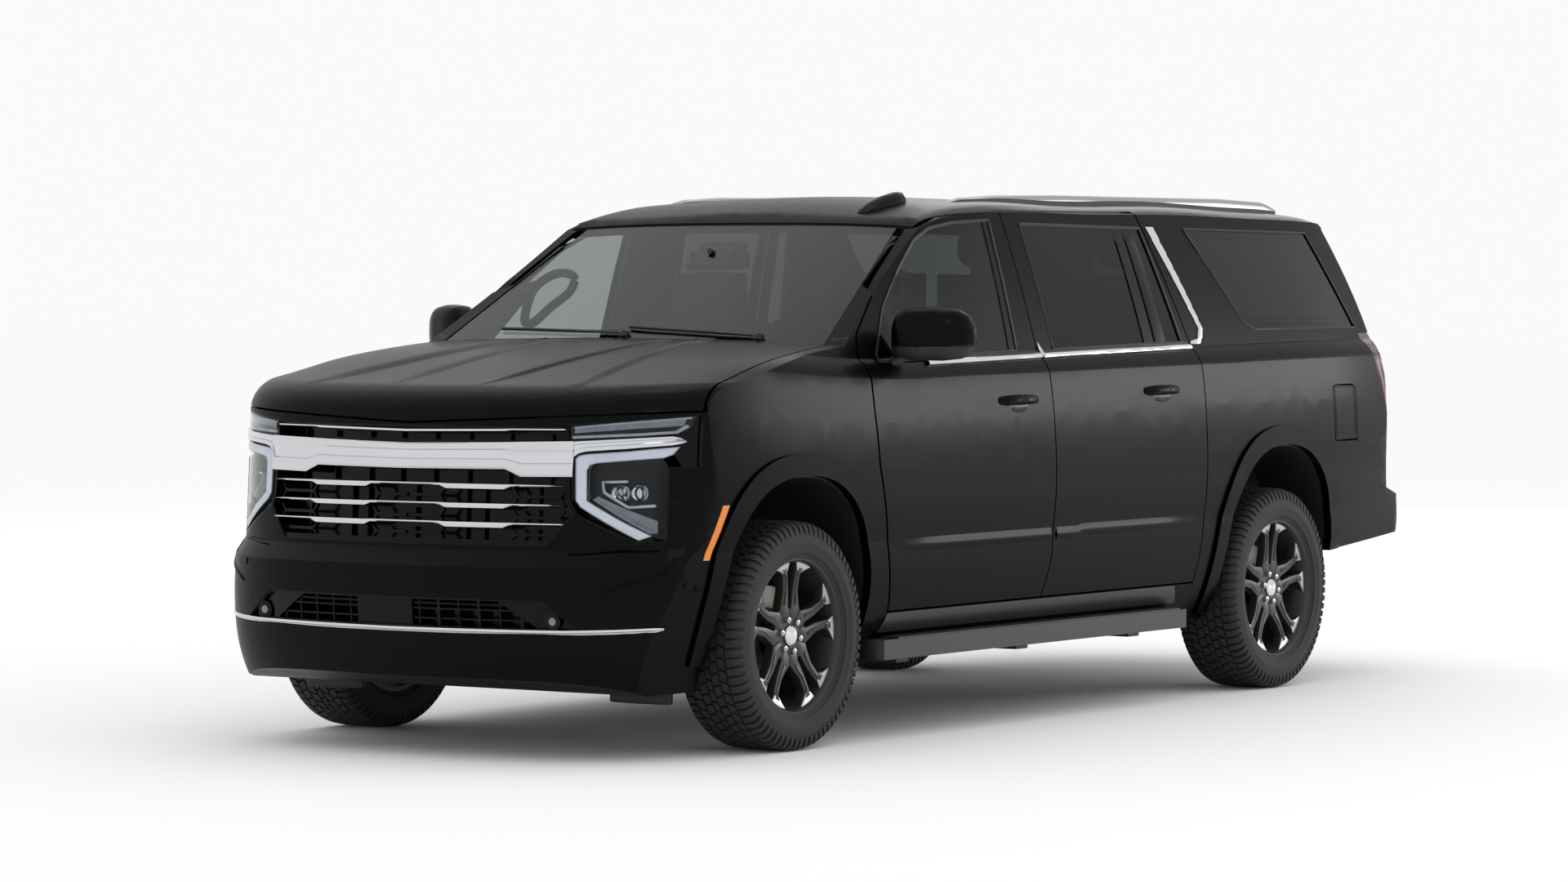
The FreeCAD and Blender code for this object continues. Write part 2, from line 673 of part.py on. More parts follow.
# Fuel filler lid on the left rear quarter.
FILLER_SHARES = [(-0.335, 0.505), (-0.335, 0.614), (-0.350, 0.617), (-0.470, 0.617), (-0.486, 0.610), (-0.486, 0.505)]
filler_outline = places(FILLER_SHARES)
lid_core = side_body(S.panel_wall / 3)
feature("fuel_lid", largest(side_outer.cut(lid_core).common(side_prism(filler_outline, across(0.5)))))
filler_pocket = side_prism(shifted(filler_outline, S.shut_gap), across(0.5)).cut(side_body(S.panel_wall))
left_wall = largest(side_wall.cut(filler_pocket))
feature("body_sides", Part.makeCompound([left_wall, mirrored(side_wall)]))
lips = [
    front_flare.cut(bumper_zone_gap).cut(lead_gap),
    front_flare.common(bumper_zone),
    rear_flare.cut(rear_bumper_gap),
    rear_flare.common(rear_bumper_zone),
]
feature("arch_lips", pair(Part.makeCompound([largest(lip) for lip in lips])))

roof_plan = plans([(ROOF_FRONT_SHARE, 0.0), (ROOF_FRONT_SHARE, ROOF_SPLIT_SHARE - 0.001),
                   (GATE_SEAM_SHARE, ROOF_SPLIT_SHARE - 0.001), (GATE_SEAM_SHARE, 0.0)])
roof_plan = [(x + S.shut_gap if x < 0 else x, y) for x, y in roof_plan]
roof_region = prism(both_sides(roof_plan), "z", height(0.85), FAR_UP)
roof = panel_shell.common(roof_region)
feature("roof_panel", largest(roof))
HEADER_SHARES = (-0.505, -0.440)
header = block(along(HEADER_SHARES[0]), along(HEADER_SHARES[1]), -across(0.60), across(0.60), height(0.90), FAR_UP)
header = header.common(side_body(S.panel_wall + S.trim_gap)).cut(side_body(S.panel_wall * 2))
feature("gate_header", largest(header.common(inner_profile)))

screen_tool = prism(inset_outline(screen_plan, S.trim_gap), "z", height(0.68), FAR_UP)
glass_shell = glass_outer.cut(glass_core)
feature("windshield", largest(glass_shell.common(screen_tool)))
quarter_tool = side_prism(inset_outline(quarter_outline, S.trim_gap), across(0.5))
feature("quarter_glass", pair(largest(glass_shell.common(quarter_tool))))

# Doors, each an outer panel with a narrower inner frame behind it.
side_shell = outer.cut(door_split).common(left_space)
inner_shell = door_split.cut(door_core).common(left_space).common(pillar_profile)
inner_shell = inner_shell.cut(block(FAR_REAR, FAR_FRONT, 0, across(0.68), height(0.90), FAR_UP))
head_plan = plans([
    (0.93, 0.0), (0.93, 0.84), (0.8904, 0.8411), (0.6840, 0.7114), (0.6830, ROOF_SPLIT_SHARE + 0.007),
    (-1.2, ROOF_SPLIT_SHARE + 0.007), (-1.2, 0.0),
])
side_shell = side_shell.cut(prism(head_plan, "z", height(0.70), FAR_UP))
window_outlines = [places(FRONT_GLASS_SHARES), places(REAR_GLASS_SHARES)]
door_names = ("front", "rear")
door_parts = {}
for index, (outline, count) in enumerate(((front_door_outline, 5), (rear_door_outline, 5))):
    skin = largest(side_shell.common(door_tool(outline, count, -half_gap)))
    frame_part = largest(inner_shell.common(door_tool(inner_outline(outline), count, 0)))
    window = side_prism(window_outlines[index], across(0.5))
    leaf = skin.fuse(frame_part).removeSplitter().cut(window)
    leaf = largest(leaf)
    pane = side_prism(inset_outline(window_outlines[index], S.trim_gap), across(0.5))
    glass = largest(glass_shell.common(pane))
    name = door_names[index]
    door_parts[name] = leaf
    feature("%s_left_door" % name, leaf)
    feature("%s_right_door" % name, mirrored(leaf))
    feature("%s_left_glass" % name, glass)
    feature("%s_right_glass" % name, mirrored(glass))

# Rear end.
gate_tool = prism(gate_outline, "x", FAR_REAR, along(GATE_SEAM_SHARE))
gate = largest(panel_shell.common(gate_tool))
gate_glass_outline = both_widths(fronts(GATE_GLASS_SHARES))
gate_window = prism(gate_glass_outline, "x", FAR_REAR, along(-0.3))
gate_pane = prism(inset_outline(gate_glass_outline, S.trim_gap), "x", FAR_REAR, along(-0.3))
feature("liftgate", largest(gate.cut(gate_window)))
feature("liftgate_glass", largest(glass_shell.common(gate_pane)))
rear_region = rear_bumper_zone.fuse(mirrored(rear_bumper_zone))
rear_bumper = panel_shell.common(rear_region).cut(gate_space)
rear_bumper = rear_bumper.cut(arch_cuts[1]).cut(mirrored(arch_cuts[1]))
rear_bumper = rear_bumper.cut(block(along(-0.90), along(0.1), -across(0.66), across(0.66), 0, height(0.32)))
feature("rear_bumper", largest(rear_bumper))
tail_lamp = lamp_face.cut(panel_core).common(tail_tool).cut(gate_space)
feature("tail_lamps", pair(largest(tail_lamp)))


def bound_box(name, length, width, depth, x, y, z):
    """Box with bound sizes and a bound lowest corner."""
    item = doc.addObject("Part::Box", name)
    texts = (("Length", length), ("Width", width), ("Height", depth),
             ("Placement.Base.x", x), ("Placement.Base.y", y), ("Placement.Base.z", z))
    for prop, text in texts:
        item.setExpression(prop, text)
    return item


def grouped(name, items):
    """Like pieces that don't touch, kept together as one sub-part."""
    item = doc.addObject("Part::Compound", name)
    item.Links = items
    return listed(name, item)


FRONT_AXLE_TEXT = "(Sizes.overall_length / 2 - Sizes.front_overhang)"
REAR_AXLE_TEXT = "(Sizes.overall_length / 2 - Sizes.front_overhang - Sizes.wheelbase)"
SIDES = (("left", 1), ("right", -1))


# Wheels and tyres, modelled at the left with the outer face towards +Y.
TYRE_SHARES = [
    (0.366, -0.105), (0.366, 0.004), (0.425, 0.012), (0.470, 0.210), (0.490, 0.420), (0.480, 0.640),
    (0.450, 0.870), (0.408, 0.955), (0.300, 0.990), (0.0, 1.0),
]
RIM_SHARES = [
    (0.500, 1.000), (0.447, 1.000), (0.443, 0.949), (0.330, 0.942), (0.260, 0.880), (-0.180, 0.880),
    (-0.330, 0.942), (-0.443, 0.949), (-0.447, 1.000), (-0.500, 1.000), (-0.500, 0.965),
    (-0.460, 0.905), (-0.360, 0.896), (-0.200, 0.832), (0.280, 0.832), (0.360, 0.896), (0.460, 0.930),
    (0.500, 0.965),
]
PAIR_COUNT = 5
SPOKE_ROOT_TURN = 11.0
SPOKE_TIP_TURN = 15.0


def revolved(points):
    """Solid of revolution about the wheel's axle from (distance along it, radius) points."""
    corners = [V(0, along_axle, radius) for along_axle, radius in points]
    face = Part.Face(Part.makePolygon(corners + corners[:1]))
    return face.revolve(V(0, 0, 0), V(0, 1, 0), 360)


def tyre_shape():
    """Tyre with a bead that seats on the rim and a rounded tread."""
    wall = S.tyre_radius - S.rim_radius
    half = [(width * S.tyre_width, S.rim_radius + level * wall) for width, level in TYRE_SHARES]
    half[0] = (half[0][0], S.rim_radius * 0.949 + S.trim_gap)
    full = half + [(-y, r) for y, r in reversed(half[:-1])]
    return revolved(full)


def polar(radius, turn):
    """Point in the wheel's plane, the turn in degrees from straight up."""
    return (radius * math.sin(math.radians(turn)), radius * math.cos(math.radians(turn)))


def wheel_shape():
    """Rim, spokes in pairs, hub and brake disc in one piece."""
    rim = revolved([(width * S.rim_width, share * S.rim_radius) for width, share in RIM_SHARES])
    face = S.rim_width / 2 - S.spoke_setback
    hub = Part.makeCylinder(S.hub_radius, face - S.spoke_setback + S.hub_depth / 2,
                            V(0, -S.hub_depth / 2, 0), V(0, 1, 0))
    disc = Part.makeCylinder(S.disc_radius, S.disc_thickness, V(0, -S.hub_depth / 4, 0), V(0, 1, 0))
    pieces = [hub, disc]
    rim_inner = S.rim_radius * 0.90
    for pair_index in range(PAIR_COUNT):
        middle = 360.0 / PAIR_COUNT * pair_index
        for side in (-1, 1):
            root = V(*polar(S.hub_radius * 0.8, middle + side * SPOKE_ROOT_TURN), 0)
            tip = V(*polar(rim_inner, middle + side * SPOKE_TIP_TURN), 0)
            aim = (tip - root).normalize()
            normal = V(-aim.y, aim.x, 0)
            corners = [root + normal * (S.spoke_root_width / 2), tip + normal * (S.spoke_tip_width / 2),
                       tip - normal * (S.spoke_tip_width / 2), root - normal * (S.spoke_root_width / 2)]
            outline = [(corner.x, corner.y) for corner in corners]
            pieces.append(prism(outline, "y", face - S.spoke_depth, face))
    return rim.fuse(pieces).removeSplitter()


wheel = wheel_shape()
tyre = tyre_shape()
for end, axle_x in (("front", FRONT_AXLE), ("rear", REAR_AXLE)):
    for side, sign in SIDES:
        centre = V(axle_x, sign * S.half_track, AXLE_HEIGHT)
        for part_name, shape in (("wheel", wheel), ("tyre", tyre)):
            placed = shape if sign > 0 else mirrored(shape)
            item = feature("%s_%s_%s" % (end, side, part_name), placed)
            item.Placement = FreeCAD.Placement(centre, FreeCAD.Rotation())

# Steering knuckles with brake calipers.
HUB_FACE = S.half_track - S.hub_depth / 2 - S.trim_gap


def knuckle_shape():
    """Upright, hub carrier, steering arm and caliper at the left front wheel."""
    kingpin = S.half_track - S.kingpin_inset
    carrier = Part.makeCylinder(S.hub_radius * 0.8, S.hub_depth, V(FRONT_AXLE, HUB_FACE - S.hub_depth, AXLE_HEIGHT),
                                V(0, 1, 0))
    half = S.hub_radius * 0.4
    upright = block(FRONT_AXLE - half, FRONT_AXLE + half, kingpin - half * 1.6, HUB_FACE,
                    AXLE_HEIGHT - S.knuckle_drop, AXLE_HEIGHT + S.knuckle_rise)
    arm = block(FRONT_AXLE - S.disc_radius, FRONT_AXLE, HUB_FACE - S.hub_depth, HUB_FACE - S.hub_depth / 2,
                AXLE_HEIGHT - half, AXLE_HEIGHT + half)
    return carrier.fuse([upright, arm]).removeSplitter()


def caliper_shape(axle_x):
    """Brake caliper that straddles the disc behind the axle."""
    disc_low = S.half_track - S.hub_depth / 4
    clear = S.shut_gap
    tall = S.caliper_width
    low_y = disc_low - clear - S.arm_thickness * 0.6
    high_y = disc_low + S.disc_thickness + clear + S.arm_thickness * 0.5
    reach = S.rim_radius * 0.79
    whole = block(axle_x - reach, axle_x - S.disc_radius * 0.6, low_y, high_y, AXLE_HEIGHT - tall, AXLE_HEIGHT + tall)
    ring = Part.makeCylinder(reach, S.tyre_width, V(axle_x, S.half_track - S.tyre_width / 2, AXLE_HEIGHT), V(0, 1, 0))
    slot = block(axle_x - S.disc_radius - clear, axle_x, disc_low - clear, disc_low + S.disc_thickness + clear,
                 AXLE_HEIGHT - tall * 2, AXLE_HEIGHT + tall * 2)
    return whole.common(ring).cut(slot)


knuckle = largest(knuckle_shape().fuse(caliper_shape(FRONT_AXLE)).removeSplitter())
feature("front_left_knuckle", knuckle)
feature("front_right_knuckle", mirrored(knuckle))

# Suspension arms, struts and the rear axle.
ARM_PLAN_SHARES = [(0.0, 0.0), (0.38, 0.0), (0.76, 1.0), (1.0, 1.0)]


def control_arm(axle_x, low, high, outer_y, half_narrow, half_wide):
    """Arm that widens from its ball joint to the frame rail."""
    inner_y = S.rail_offset + S.rail_width / 2 + S.trim_gap
    span = outer_y - inner_y
    side_points = [(half_narrow + wide * (half_wide - half_narrow), outer_y - step * span)
                   for step, wide in ARM_PLAN_SHARES]
    outline = [(axle_x + half, y) for half, y in side_points]
    outline += [(axle_x - half, y) for half, y in reversed(side_points)]
    return prism(outline, "z", low, high)


def front_corner():
    """Lower arm, upper arm and coil-over strut at the left front."""
    kingpin = S.half_track - S.kingpin_inset
    half = S.hub_radius * 0.4
    bottom = AXLE_HEIGHT - S.knuckle_drop - S.trim_gap
    top = AXLE_HEIGHT + S.knuckle_rise + S.trim_gap
    lower = control_arm(FRONT_AXLE, bottom - S.arm_thickness * 0.7, bottom, kingpin - half / 8, half, half * 4)
    upper = control_arm(FRONT_AXLE, top, top + S.arm_thickness * 0.5, kingpin + half, half * 0.8, half * 4)
    strut_y = kingpin - S.strut_inset
    strut = Part.makeCylinder(S.strut_radius, S.strut_length, V(FRONT_AXLE, strut_y, bottom))
    rise = FRONT_RAIL_TOP - bottom
    post = block(FRONT_AXLE - half, FRONT_AXLE + half, S.rail_offset + S.rail_width / 2 + S.trim_gap,
                 strut_y, AXLE_HEIGHT + S.knuckle_rise, AXLE_HEIGHT + S.knuckle_rise + S.arm_thickness)
    return lower, upper.fuse([strut, post]).fuse(lower).removeSplitter()


RAIL_SHARES = [
    (1.80, 0.235), (1.35, 0.235), (1.15, 0.265), (0.97, 0.265), (0.885, 0.1537), (0.26, 0.1537),
    (0.14, 0.2500), (-0.80, 0.2500),
]
FRONT_RAIL_TOP = height(0.265) + S.rail_depth


def rail_shape():
    """Left side rail with its rises over the two axles."""
    low = places(RAIL_SHARES)
    high = [(x, z + S.rail_depth) for x, z in reversed(low)]
    return prism(low + high, "y", S.rail_offset - S.rail_width / 2, S.rail_offset + S.rail_width / 2)


CROSSMEMBER_SHARES = [(1.72, 0.235), (1.30, 0.235), (0.72, 0.1537), (0.50, 0.1537), (0.28, 0.1537),
                      (-0.20, 0.2500), (-0.76, 0.2500)]
rail = rail_shape()
members = []
for place, level in CROSSMEMBER_SHARES:
    members.append(block(along(place) - S.crossmember_width, along(place), -S.rail_offset, S.rail_offset,
                         height(level) + S.rail_depth / 4, height(level) + S.rail_depth * 0.7))
feature("chassis_frame", rail.fuse([mirrored(rail)] + members).removeSplitter())
lower_arm, corner_shape = front_corner()
feature("front_suspension", pair(corner_shape))

# Square socket for a tow bar, under the rear bumper's middle.
receiver_x = along(-0.955)
outer_half = S.receiver_size / 2
inner_half = outer_half - S.receiver_wall
receiver_z = height(RAIL_SHARES[-1][1]) - S.receiver_drop
socket = block(receiver_x, receiver_x + S.receiver_length, -outer_half, outer_half,
               receiver_z - outer_half, receiver_z + outer_half)
socket = socket.cut(block(receiver_x, receiver_x + S.receiver_length, -inner_half, inner_half,
                          receiver_z - inner_half, receiver_z + inner_half))
tow_bar = block(receiver_x + S.receiver_length * 0.72, receiver_x + S.receiver_length,
                -S.rail_offset - S.rail_width / 2, S.rail_offset + S.rail_width / 2,
                receiver_z + outer_half, height(RAIL_SHARES[-1][1]) - S.trim_gap)
feature("hitch_receiver", socket.fuse(tow_bar).removeSplitter())


def rear_axle_shape():
    """Differential, half shafts, hub carriers and arms of the rear axle."""
    span = HUB_FACE * 2
    shaft = Part.makeCylinder(S.axle_tube_radius, span, V(REAR_AXLE, -HUB_FACE, AXLE_HEIGHT), V(0, 1, 0))
    housing = Part.makeSphere(S.axle_tube_radius * 4, V(REAR_AXLE, 0, AXLE_HEIGHT))
    pieces = [housing]
    for side, sign in SIDES:
        carrier = Part.makeCylinder(S.hub_radius * 0.9, S.hub_depth, V(REAR_AXLE, sign * HUB_FACE, AXLE_HEIGHT),
                                    V(0, -sign, 0))
        pad = block(REAR_AXLE - S.arm_thickness, REAR_AXLE + S.arm_thickness,
                    sign * S.rail_offset - S.rail_width / 2, sign * S.rail_offset + S.rail_width / 2,
                    AXLE_HEIGHT, height(0.2500) - S.trim_gap)
        pieces += [carrier, pad]
    caliper = caliper_shape(REAR_AXLE)
    bracket = block(REAR_AXLE - S.disc_radius, REAR_AXLE, HUB_FACE - S.hub_depth, HUB_FACE - S.hub_depth / 2,
                    AXLE_HEIGHT - S.arm_thickness, AXLE_HEIGHT + S.arm_thickness)
    pieces += [caliper, mirrored(caliper), bracket, mirrored(bracket)]
    return largest(shaft.fuse(pieces).removeSplitter())


feature("rear_axle", rear_axle_shape())

# Arch liners.


def liner(place, inner_y, closed):
    """Plastic shell inside a wheel opening."""
    shell = arch(*place, -S.trim_gap, inner_y, SIDE_OUT).cut(
        arch(*place, -S.trim_gap - S.liner_wall, inner_y + (S.liner_wall if closed else 0), SIDE_OUT))
    shell = shell.common(side_body(S.panel_wall * 0.6))
    low = block(FAR_REAR, FAR_FRONT, 0, SIDE_OUT, height(0.17), FAR_UP)
    return shell.common(low)


front_liner = liner(ARCHES[0], S.rail_offset + S.rail_width / 2 + S.shut_gap, False)
rear_liner = liner(ARCHES[1], S.half_track - S.tyre_width / 2 - S.liner_wall * 6, True)
rear_liner = rear_liner.cut(block(FAR_REAR, FAR_FRONT, 0, SIDE_OUT - S.half_width * 0.45, 0, AXLE_HEIGHT + S.hub_radius))
feature("arch_liners", pair(Part.makeCompound([largest(front_liner), largest(rear_liner)])))

# Floor, firewall and cowl.
FLOOR_STEPS = [(0.8812, S.floor_height), (0.26, S.floor_height), (0.20, height(0.3283)), (-0.90, height(0.3283))]


def floor_shape():
    """Floor pan that steps up over the rear axle, cut round the rear wheel houses."""
    low = [(along(place), z + S.trim_gap) for place, z in FLOOR_STEPS]
    high = [(x, z + S.floor_wall) for x, z in reversed(low)]
    slab = prism(low + high, "y", -across(0.95), across(0.95))
    slab = slab.common(side_body(S.door_wall + S.pillar_gap, True)).common(inner_profile)
    house = arch(*ARCHES[1], S.trim_gap, rear_house_y - S.trim_gap, SIDE_OUT)
    return slab.cut(house).cut(mirrored(house))


rear_house_y = S.half_track - S.tyre_width / 2 - S.liner_wall * 6
FIREWALL_SHARES = (0.8730, 0.8810)
firewall = block(along(FIREWALL_SHARES[0]), along(FIREWALL_SHARES[1]), -across(0.85), across(0.85),
                 S.floor_height + S.trim_gap, height(0.6950))
firewall = firewall.common(side_body(S.side_wall + S.trim_gap, True))
front_house = arch(*ARCHES[0], S.trim_gap, across(0.45), SIDE_OUT)
HINGE_ARM_SHARES = ((0.48, 0.53), (-0.53, -0.48))
hinge_arms = []
for low_side, high_side in HINGE_ARM_SHARES:
    hinge_arm = block(along(FIREWALL_SHARES[0]), along(0.92), across(low_side), across(high_side),
                      height(0.64), FAR_UP)
    hinge_arms.append(hinge_arm.common(inner_profile))
floor_pan = floor_shape().fuse([firewall] + hinge_arms).cut(front_house).cut(mirrored(front_house))
feature("floor_pan", largest(floor_pan.removeSplitter()))
COWL_SHARES = [(0.8908, 0.0), (0.8912, COWL_END_SHARE), (0.8940, COWL_END_SHARE), (0.8940, 0.0)]
cowl = panel_shell.common(prism(both_sides(plans(COWL_SHARES)), "z", height(0.6), FAR_UP))
feature("cowl_panel", largest(cowl))

# Roof rails and running boards.
RAIL_RISE_SHARES = [(0.556, 0.9885), (0.530, 0.9990), (0.456, 1.0050), (0.320, 1.0085), (-0.120, 1.0085),
                    (-0.377, 1.0030), (-0.430, 0.9960), (-0.458, 0.9890)]
rail_top = places(RAIL_RISE_SHARES)
rail_body = prism([(x, z - S.roof_rail_width) for x, z in rail_top] + list(reversed(rail_top)), "y",
                  S.roof_rail_offset - S.roof_rail_width, S.roof_rail_offset)
trim_seat = side_body(-S.trim_gap)
roof_rail = largest(rail_body.cut(trim_seat))
feature("roof_rails", pair(roof_rail))
BOARD_PLAN_SHARES = [(0.861, 0.940), (0.855, 0.990), (0.230, 0.990), (0.222, 0.940), (0.222, 0.830), (0.861, 0.830)]
board = prism(plans(BOARD_PLAN_SHARES), "z", S.board_height - S.board_wall / 2, S.board_height + S.board_wall / 2)
board = board.cut(trim_seat)
board = board.cut(side_body(-S.flare_stand - S.trim_gap).common(block(along(0.79), FAR_FRONT, 0, SIDE_OUT, 0, FAR_UP)))
TREAD_PLAN_SHARES = [(0.825, 0.908), (0.825, 0.983), (0.240, 0.983), (0.240, 0.908)]
tread = prism(plans(TREAD_PLAN_SHARES), "z", S.board_height, S.board_height + S.board_wall * 0.58)
rail_side = S.rail_offset + S.rail_width / 2 + S.trim_gap
bracket_top = S.board_height - S.board_wall * 0.36
additions = [tread]
for place in (0.76, 0.52, 0.28):
    bracket_rear = along(place) - S.arm_thickness
    bracket_front = along(place) + S.arm_thickness
    additions.append(block(bracket_rear, bracket_front, rail_side, across(0.86),
                           bracket_top - S.arm_thickness, bracket_top))
    additions.append(block(bracket_rear, bracket_front, rail_side, rail_side + S.arm_thickness,
                           bracket_top - S.arm_thickness, height(0.1537) + S.rail_depth / 2))
board = board.fuse(additions).removeSplitter()
feature("running_boards", pair(largest(board)))

# Mirrors on the front doors.
MIRROR_SHARES = [(0.822, 0.975), (0.814, 1.060), (0.784, 1.145), (0.758, 1.171), (0.751, 1.156), (0.753, 0.990)]
MIRROR_LEVELS = (0.700, 0.785)
housing = prism(plans(MIRROR_SHARES), "z", height(MIRROR_LEVELS[0]), height(MIRROR_LEVELS[1]))
stalk = block(along(0.775), along(0.805), across(0.80), across(0.985),
              height(MIRROR_LEVELS[0]), height(MIRROR_LEVELS[0]) + S.arm_thickness)
mirror = largest(housing.fuse(stalk).removeSplitter().cut(trim_seat))
feature("left_mirror", mirror)
feature("right_mirror", mirrored(mirror))

# Engine, seats and controls.
listed("engine_block", bound_box(
    "engine_block", "Sizes.engine_length", "Sizes.engine_width", "Sizes.engine_height",
    FRONT_AXLE_TEXT + " - Sizes.engine_length / 2", "-Sizes.engine_width / 2",
    "Sizes.tyre_radius + Sizes.hub_radius * 2.5"))


def seat(name, back_x, centre_y, floor_text, width):
    """Seat with a base, a cushion, a back and a headrest, facing forward."""
    half = "(%s) / 2" % width
    low_y = "%s - %s" % (centre_y, half)
    base = bound_box(name + "_base", "Sizes.seat_depth * 0.7", width + " * 0.8", "Sizes.seat_height - Sizes.seat_thickness",
                     back_x + " + Sizes.seat_back_thickness", "%s - (%s) * 0.4" % (centre_y, width), floor_text)
    cushion = bound_box(name + "_cushion", "Sizes.seat_depth", width, "Sizes.seat_thickness",
                        back_x + " + Sizes.seat_back_thickness / 2", low_y,
                        floor_text + " + Sizes.seat_height - Sizes.seat_thickness")
    back = bound_box(name + "_back", "Sizes.seat_back_thickness", width, "Sizes.seat_back_height + Sizes.seat_thickness",
                     back_x, low_y, floor_text + " + Sizes.seat_height - Sizes.seat_thickness")
    head = bound_box(name + "_head", "Sizes.headrest_thickness", "Sizes.headrest_width", "Sizes.headrest_height",
                     back_x + " + Sizes.headrest_thickness / 4", "%s - Sizes.headrest_width / 2" % centre_y,
                     floor_text + " + Sizes.seat_height + Sizes.seat_back_height")
    item = doc.addObject("Part::MultiFuse", name)
    item.Shapes = [base, cushion, back, head]
    item.Refine = True
    return item


LOW_FLOOR = "(Sizes.floor_height + Sizes.floor_wall + Sizes.trim_gap * 2)"
HIGH_FLOOR = "(Sizes.roof_height * 0.3283 + Sizes.floor_wall + Sizes.trim_gap * 2)"
front_back = REAR_AXLE_TEXT + " + Sizes.wheelbase * 0.545"
middle_back = REAR_AXLE_TEXT + " + Sizes.wheelbase * 0.280"
rear_back = REAR_AXLE_TEXT + " - Sizes.wheelbase * 0.010"
grouped("front_seats", [seat("front_seat_" + side, front_back, "%d * Sizes.front_seat_offset" % sign,
                             LOW_FLOOR, "Sizes.seat_width") for side, sign in SIDES])
rear_places = [("middle_seat_" + side, middle_back, "%d * Sizes.front_seat_offset" % sign, LOW_FLOOR,
                "Sizes.seat_width") for side, sign in SIDES]
rear_places.append(("rear_bench", rear_back, "0 * Sizes.front_seat_offset", HIGH_FLOOR, "(Sizes.seat_width * 2)"))
grouped("rear_seats", [seat(*place) for place in rear_places])

DASH_SHARES = [(0.8720, 0.4400), (0.8720, 0.6900), (0.8600, 0.7000), (0.8100, 0.6700), (0.8050, 0.6200),
               (0.8300, 0.5000), (0.8300, 0.4400)]
dash = prism(places(DASH_SHARES), "y", -across(0.87), across(0.87))
dash = dash.common(side_body(S.side_wall + S.shut_gap * 2, True))
console = block(along(0.60), along(0.84), -S.seat_width * 0.22, S.seat_width * 0.22,
                S.floor_height + S.floor_wall + S.trim_gap * 2, height(0.4600))
dash = largest(dash.fuse(console).removeSplitter())
feature("dashboard", dash)


def steering_shape():
    """Steering wheel with its hub, spokes and column."""
    ring = Part.makeTorus(S.steering_radius, S.steering_rim)
    hub = Part.makeCylinder(S.steering_radius * 0.35, S.steering_rim * 2, V(0, 0, -S.steering_rim))
    pieces = [hub]
    for turn in (0, 90, 180, 270):
        bar = Part.makeBox(S.steering_radius, S.steering_rim * 2.4, S.steering_rim,
                           V(0, -S.steering_rim * 1.2, -S.steering_rim / 2))
        bar.rotate(V(0, 0, 0), V(0, 0, 1), turn)
        pieces.append(bar)
    column = Part.makeCylinder(S.steering_rim * 1.5, S.steering_radius * 1.5, V(0, 0, 0), V(0, 0, 1))
    pieces.append(column)
    return ring.fuse(pieces).removeSplitter()


steering = steering_shape()
steering.rotate(V(0, 0, 0), V(0, 1, 0), 114)
steering.translate(V(along(0.775), S.front_seat_offset, height(0.625)))
feature("steering_wheel", largest(steering.cut(dash)))

doc.recompute()
faults = [item.Label for item in doc.Objects if "Invalid" in item.State or "Error" in item.State]
for name, item in FEATURES.items():
    if item.Shape.isNull() or not item.Shape.isValid():
        faults.append(name)
if faults:
    raise SystemExit("not sound: %s" % ", ".join(faults))

os.makedirs("parts", exist_ok=True)
for name, item in FEATURES.items():
    item.Shape.exportStep("parts/%s.step" % name)
    print(name, round(item.Shape.Volume / 1e6, 2), len(item.Shape.Solids))
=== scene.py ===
"""Looks of a long-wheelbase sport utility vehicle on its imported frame."""
import json
import logging
import math
from dataclasses import dataclass, field
from enum import Enum
from typing import Callable, ClassVar, Iterable, Sequence

import bmesh
import bpy
from mathutils import Matrix, Vector
from mathutils.bvhtree import BVHTree


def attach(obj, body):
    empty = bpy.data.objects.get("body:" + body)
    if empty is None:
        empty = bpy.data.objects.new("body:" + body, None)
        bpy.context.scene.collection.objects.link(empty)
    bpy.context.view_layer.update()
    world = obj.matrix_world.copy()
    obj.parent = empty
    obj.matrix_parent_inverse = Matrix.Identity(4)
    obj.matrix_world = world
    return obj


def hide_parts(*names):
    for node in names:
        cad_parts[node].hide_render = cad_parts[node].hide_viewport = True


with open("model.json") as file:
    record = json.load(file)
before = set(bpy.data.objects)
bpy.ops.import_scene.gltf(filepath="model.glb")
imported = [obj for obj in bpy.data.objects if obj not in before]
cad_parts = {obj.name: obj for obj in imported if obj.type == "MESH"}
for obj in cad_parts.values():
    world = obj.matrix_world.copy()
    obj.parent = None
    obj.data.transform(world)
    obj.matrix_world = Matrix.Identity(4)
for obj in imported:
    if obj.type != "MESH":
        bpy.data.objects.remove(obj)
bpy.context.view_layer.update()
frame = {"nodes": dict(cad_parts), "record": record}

log = logging.getLogger("vehicle")
logging.basicConfig(level=logging.INFO, format="%(message)s")

MM = 0.001
Point = tuple[float, float]
Place = Callable[[float, float, float], Vector]
Mesh = bmesh.types.BMesh

# Bodies of the doors, with the side left open.
FRONT_DOOR = "front_%s_door"
REAR_DOOR = "rear_%s_door"
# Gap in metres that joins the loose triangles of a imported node, and that of a new piece.
NODE_WELD = 0.00002
PIECE_WELD = 0.000005
# Edges sharper than this in degrees stay crisp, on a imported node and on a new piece.
NODE_CREASE = 24.0
PIECE_CREASE = 35.0
# Rounded edges of a strip, as shares of its width and height.
SHOULDER_RISE, CROWN_WIDTH, CROWN_RISE = 0.35, 0.62, 0.88
# Edges of a disc that bend more than this, in radians, are its rims.
RIM_BEND = 1.0
# Where rays start, in metres: outside a side, inside the cabin, above the roof, past an end.
RAY_SIDE, RAY_CABIN, RAY_TOP, RAY_END = 2.0, 0.3, 3.0, 4.0


class Side(Enum):
    """Side of the vehicle and the sign of its Y."""

    LEFT = 1
    RIGHT = -1

    @property
    def word(self) -> str:
        """Name used in bodies and nodes."""
        return self.name.lower()


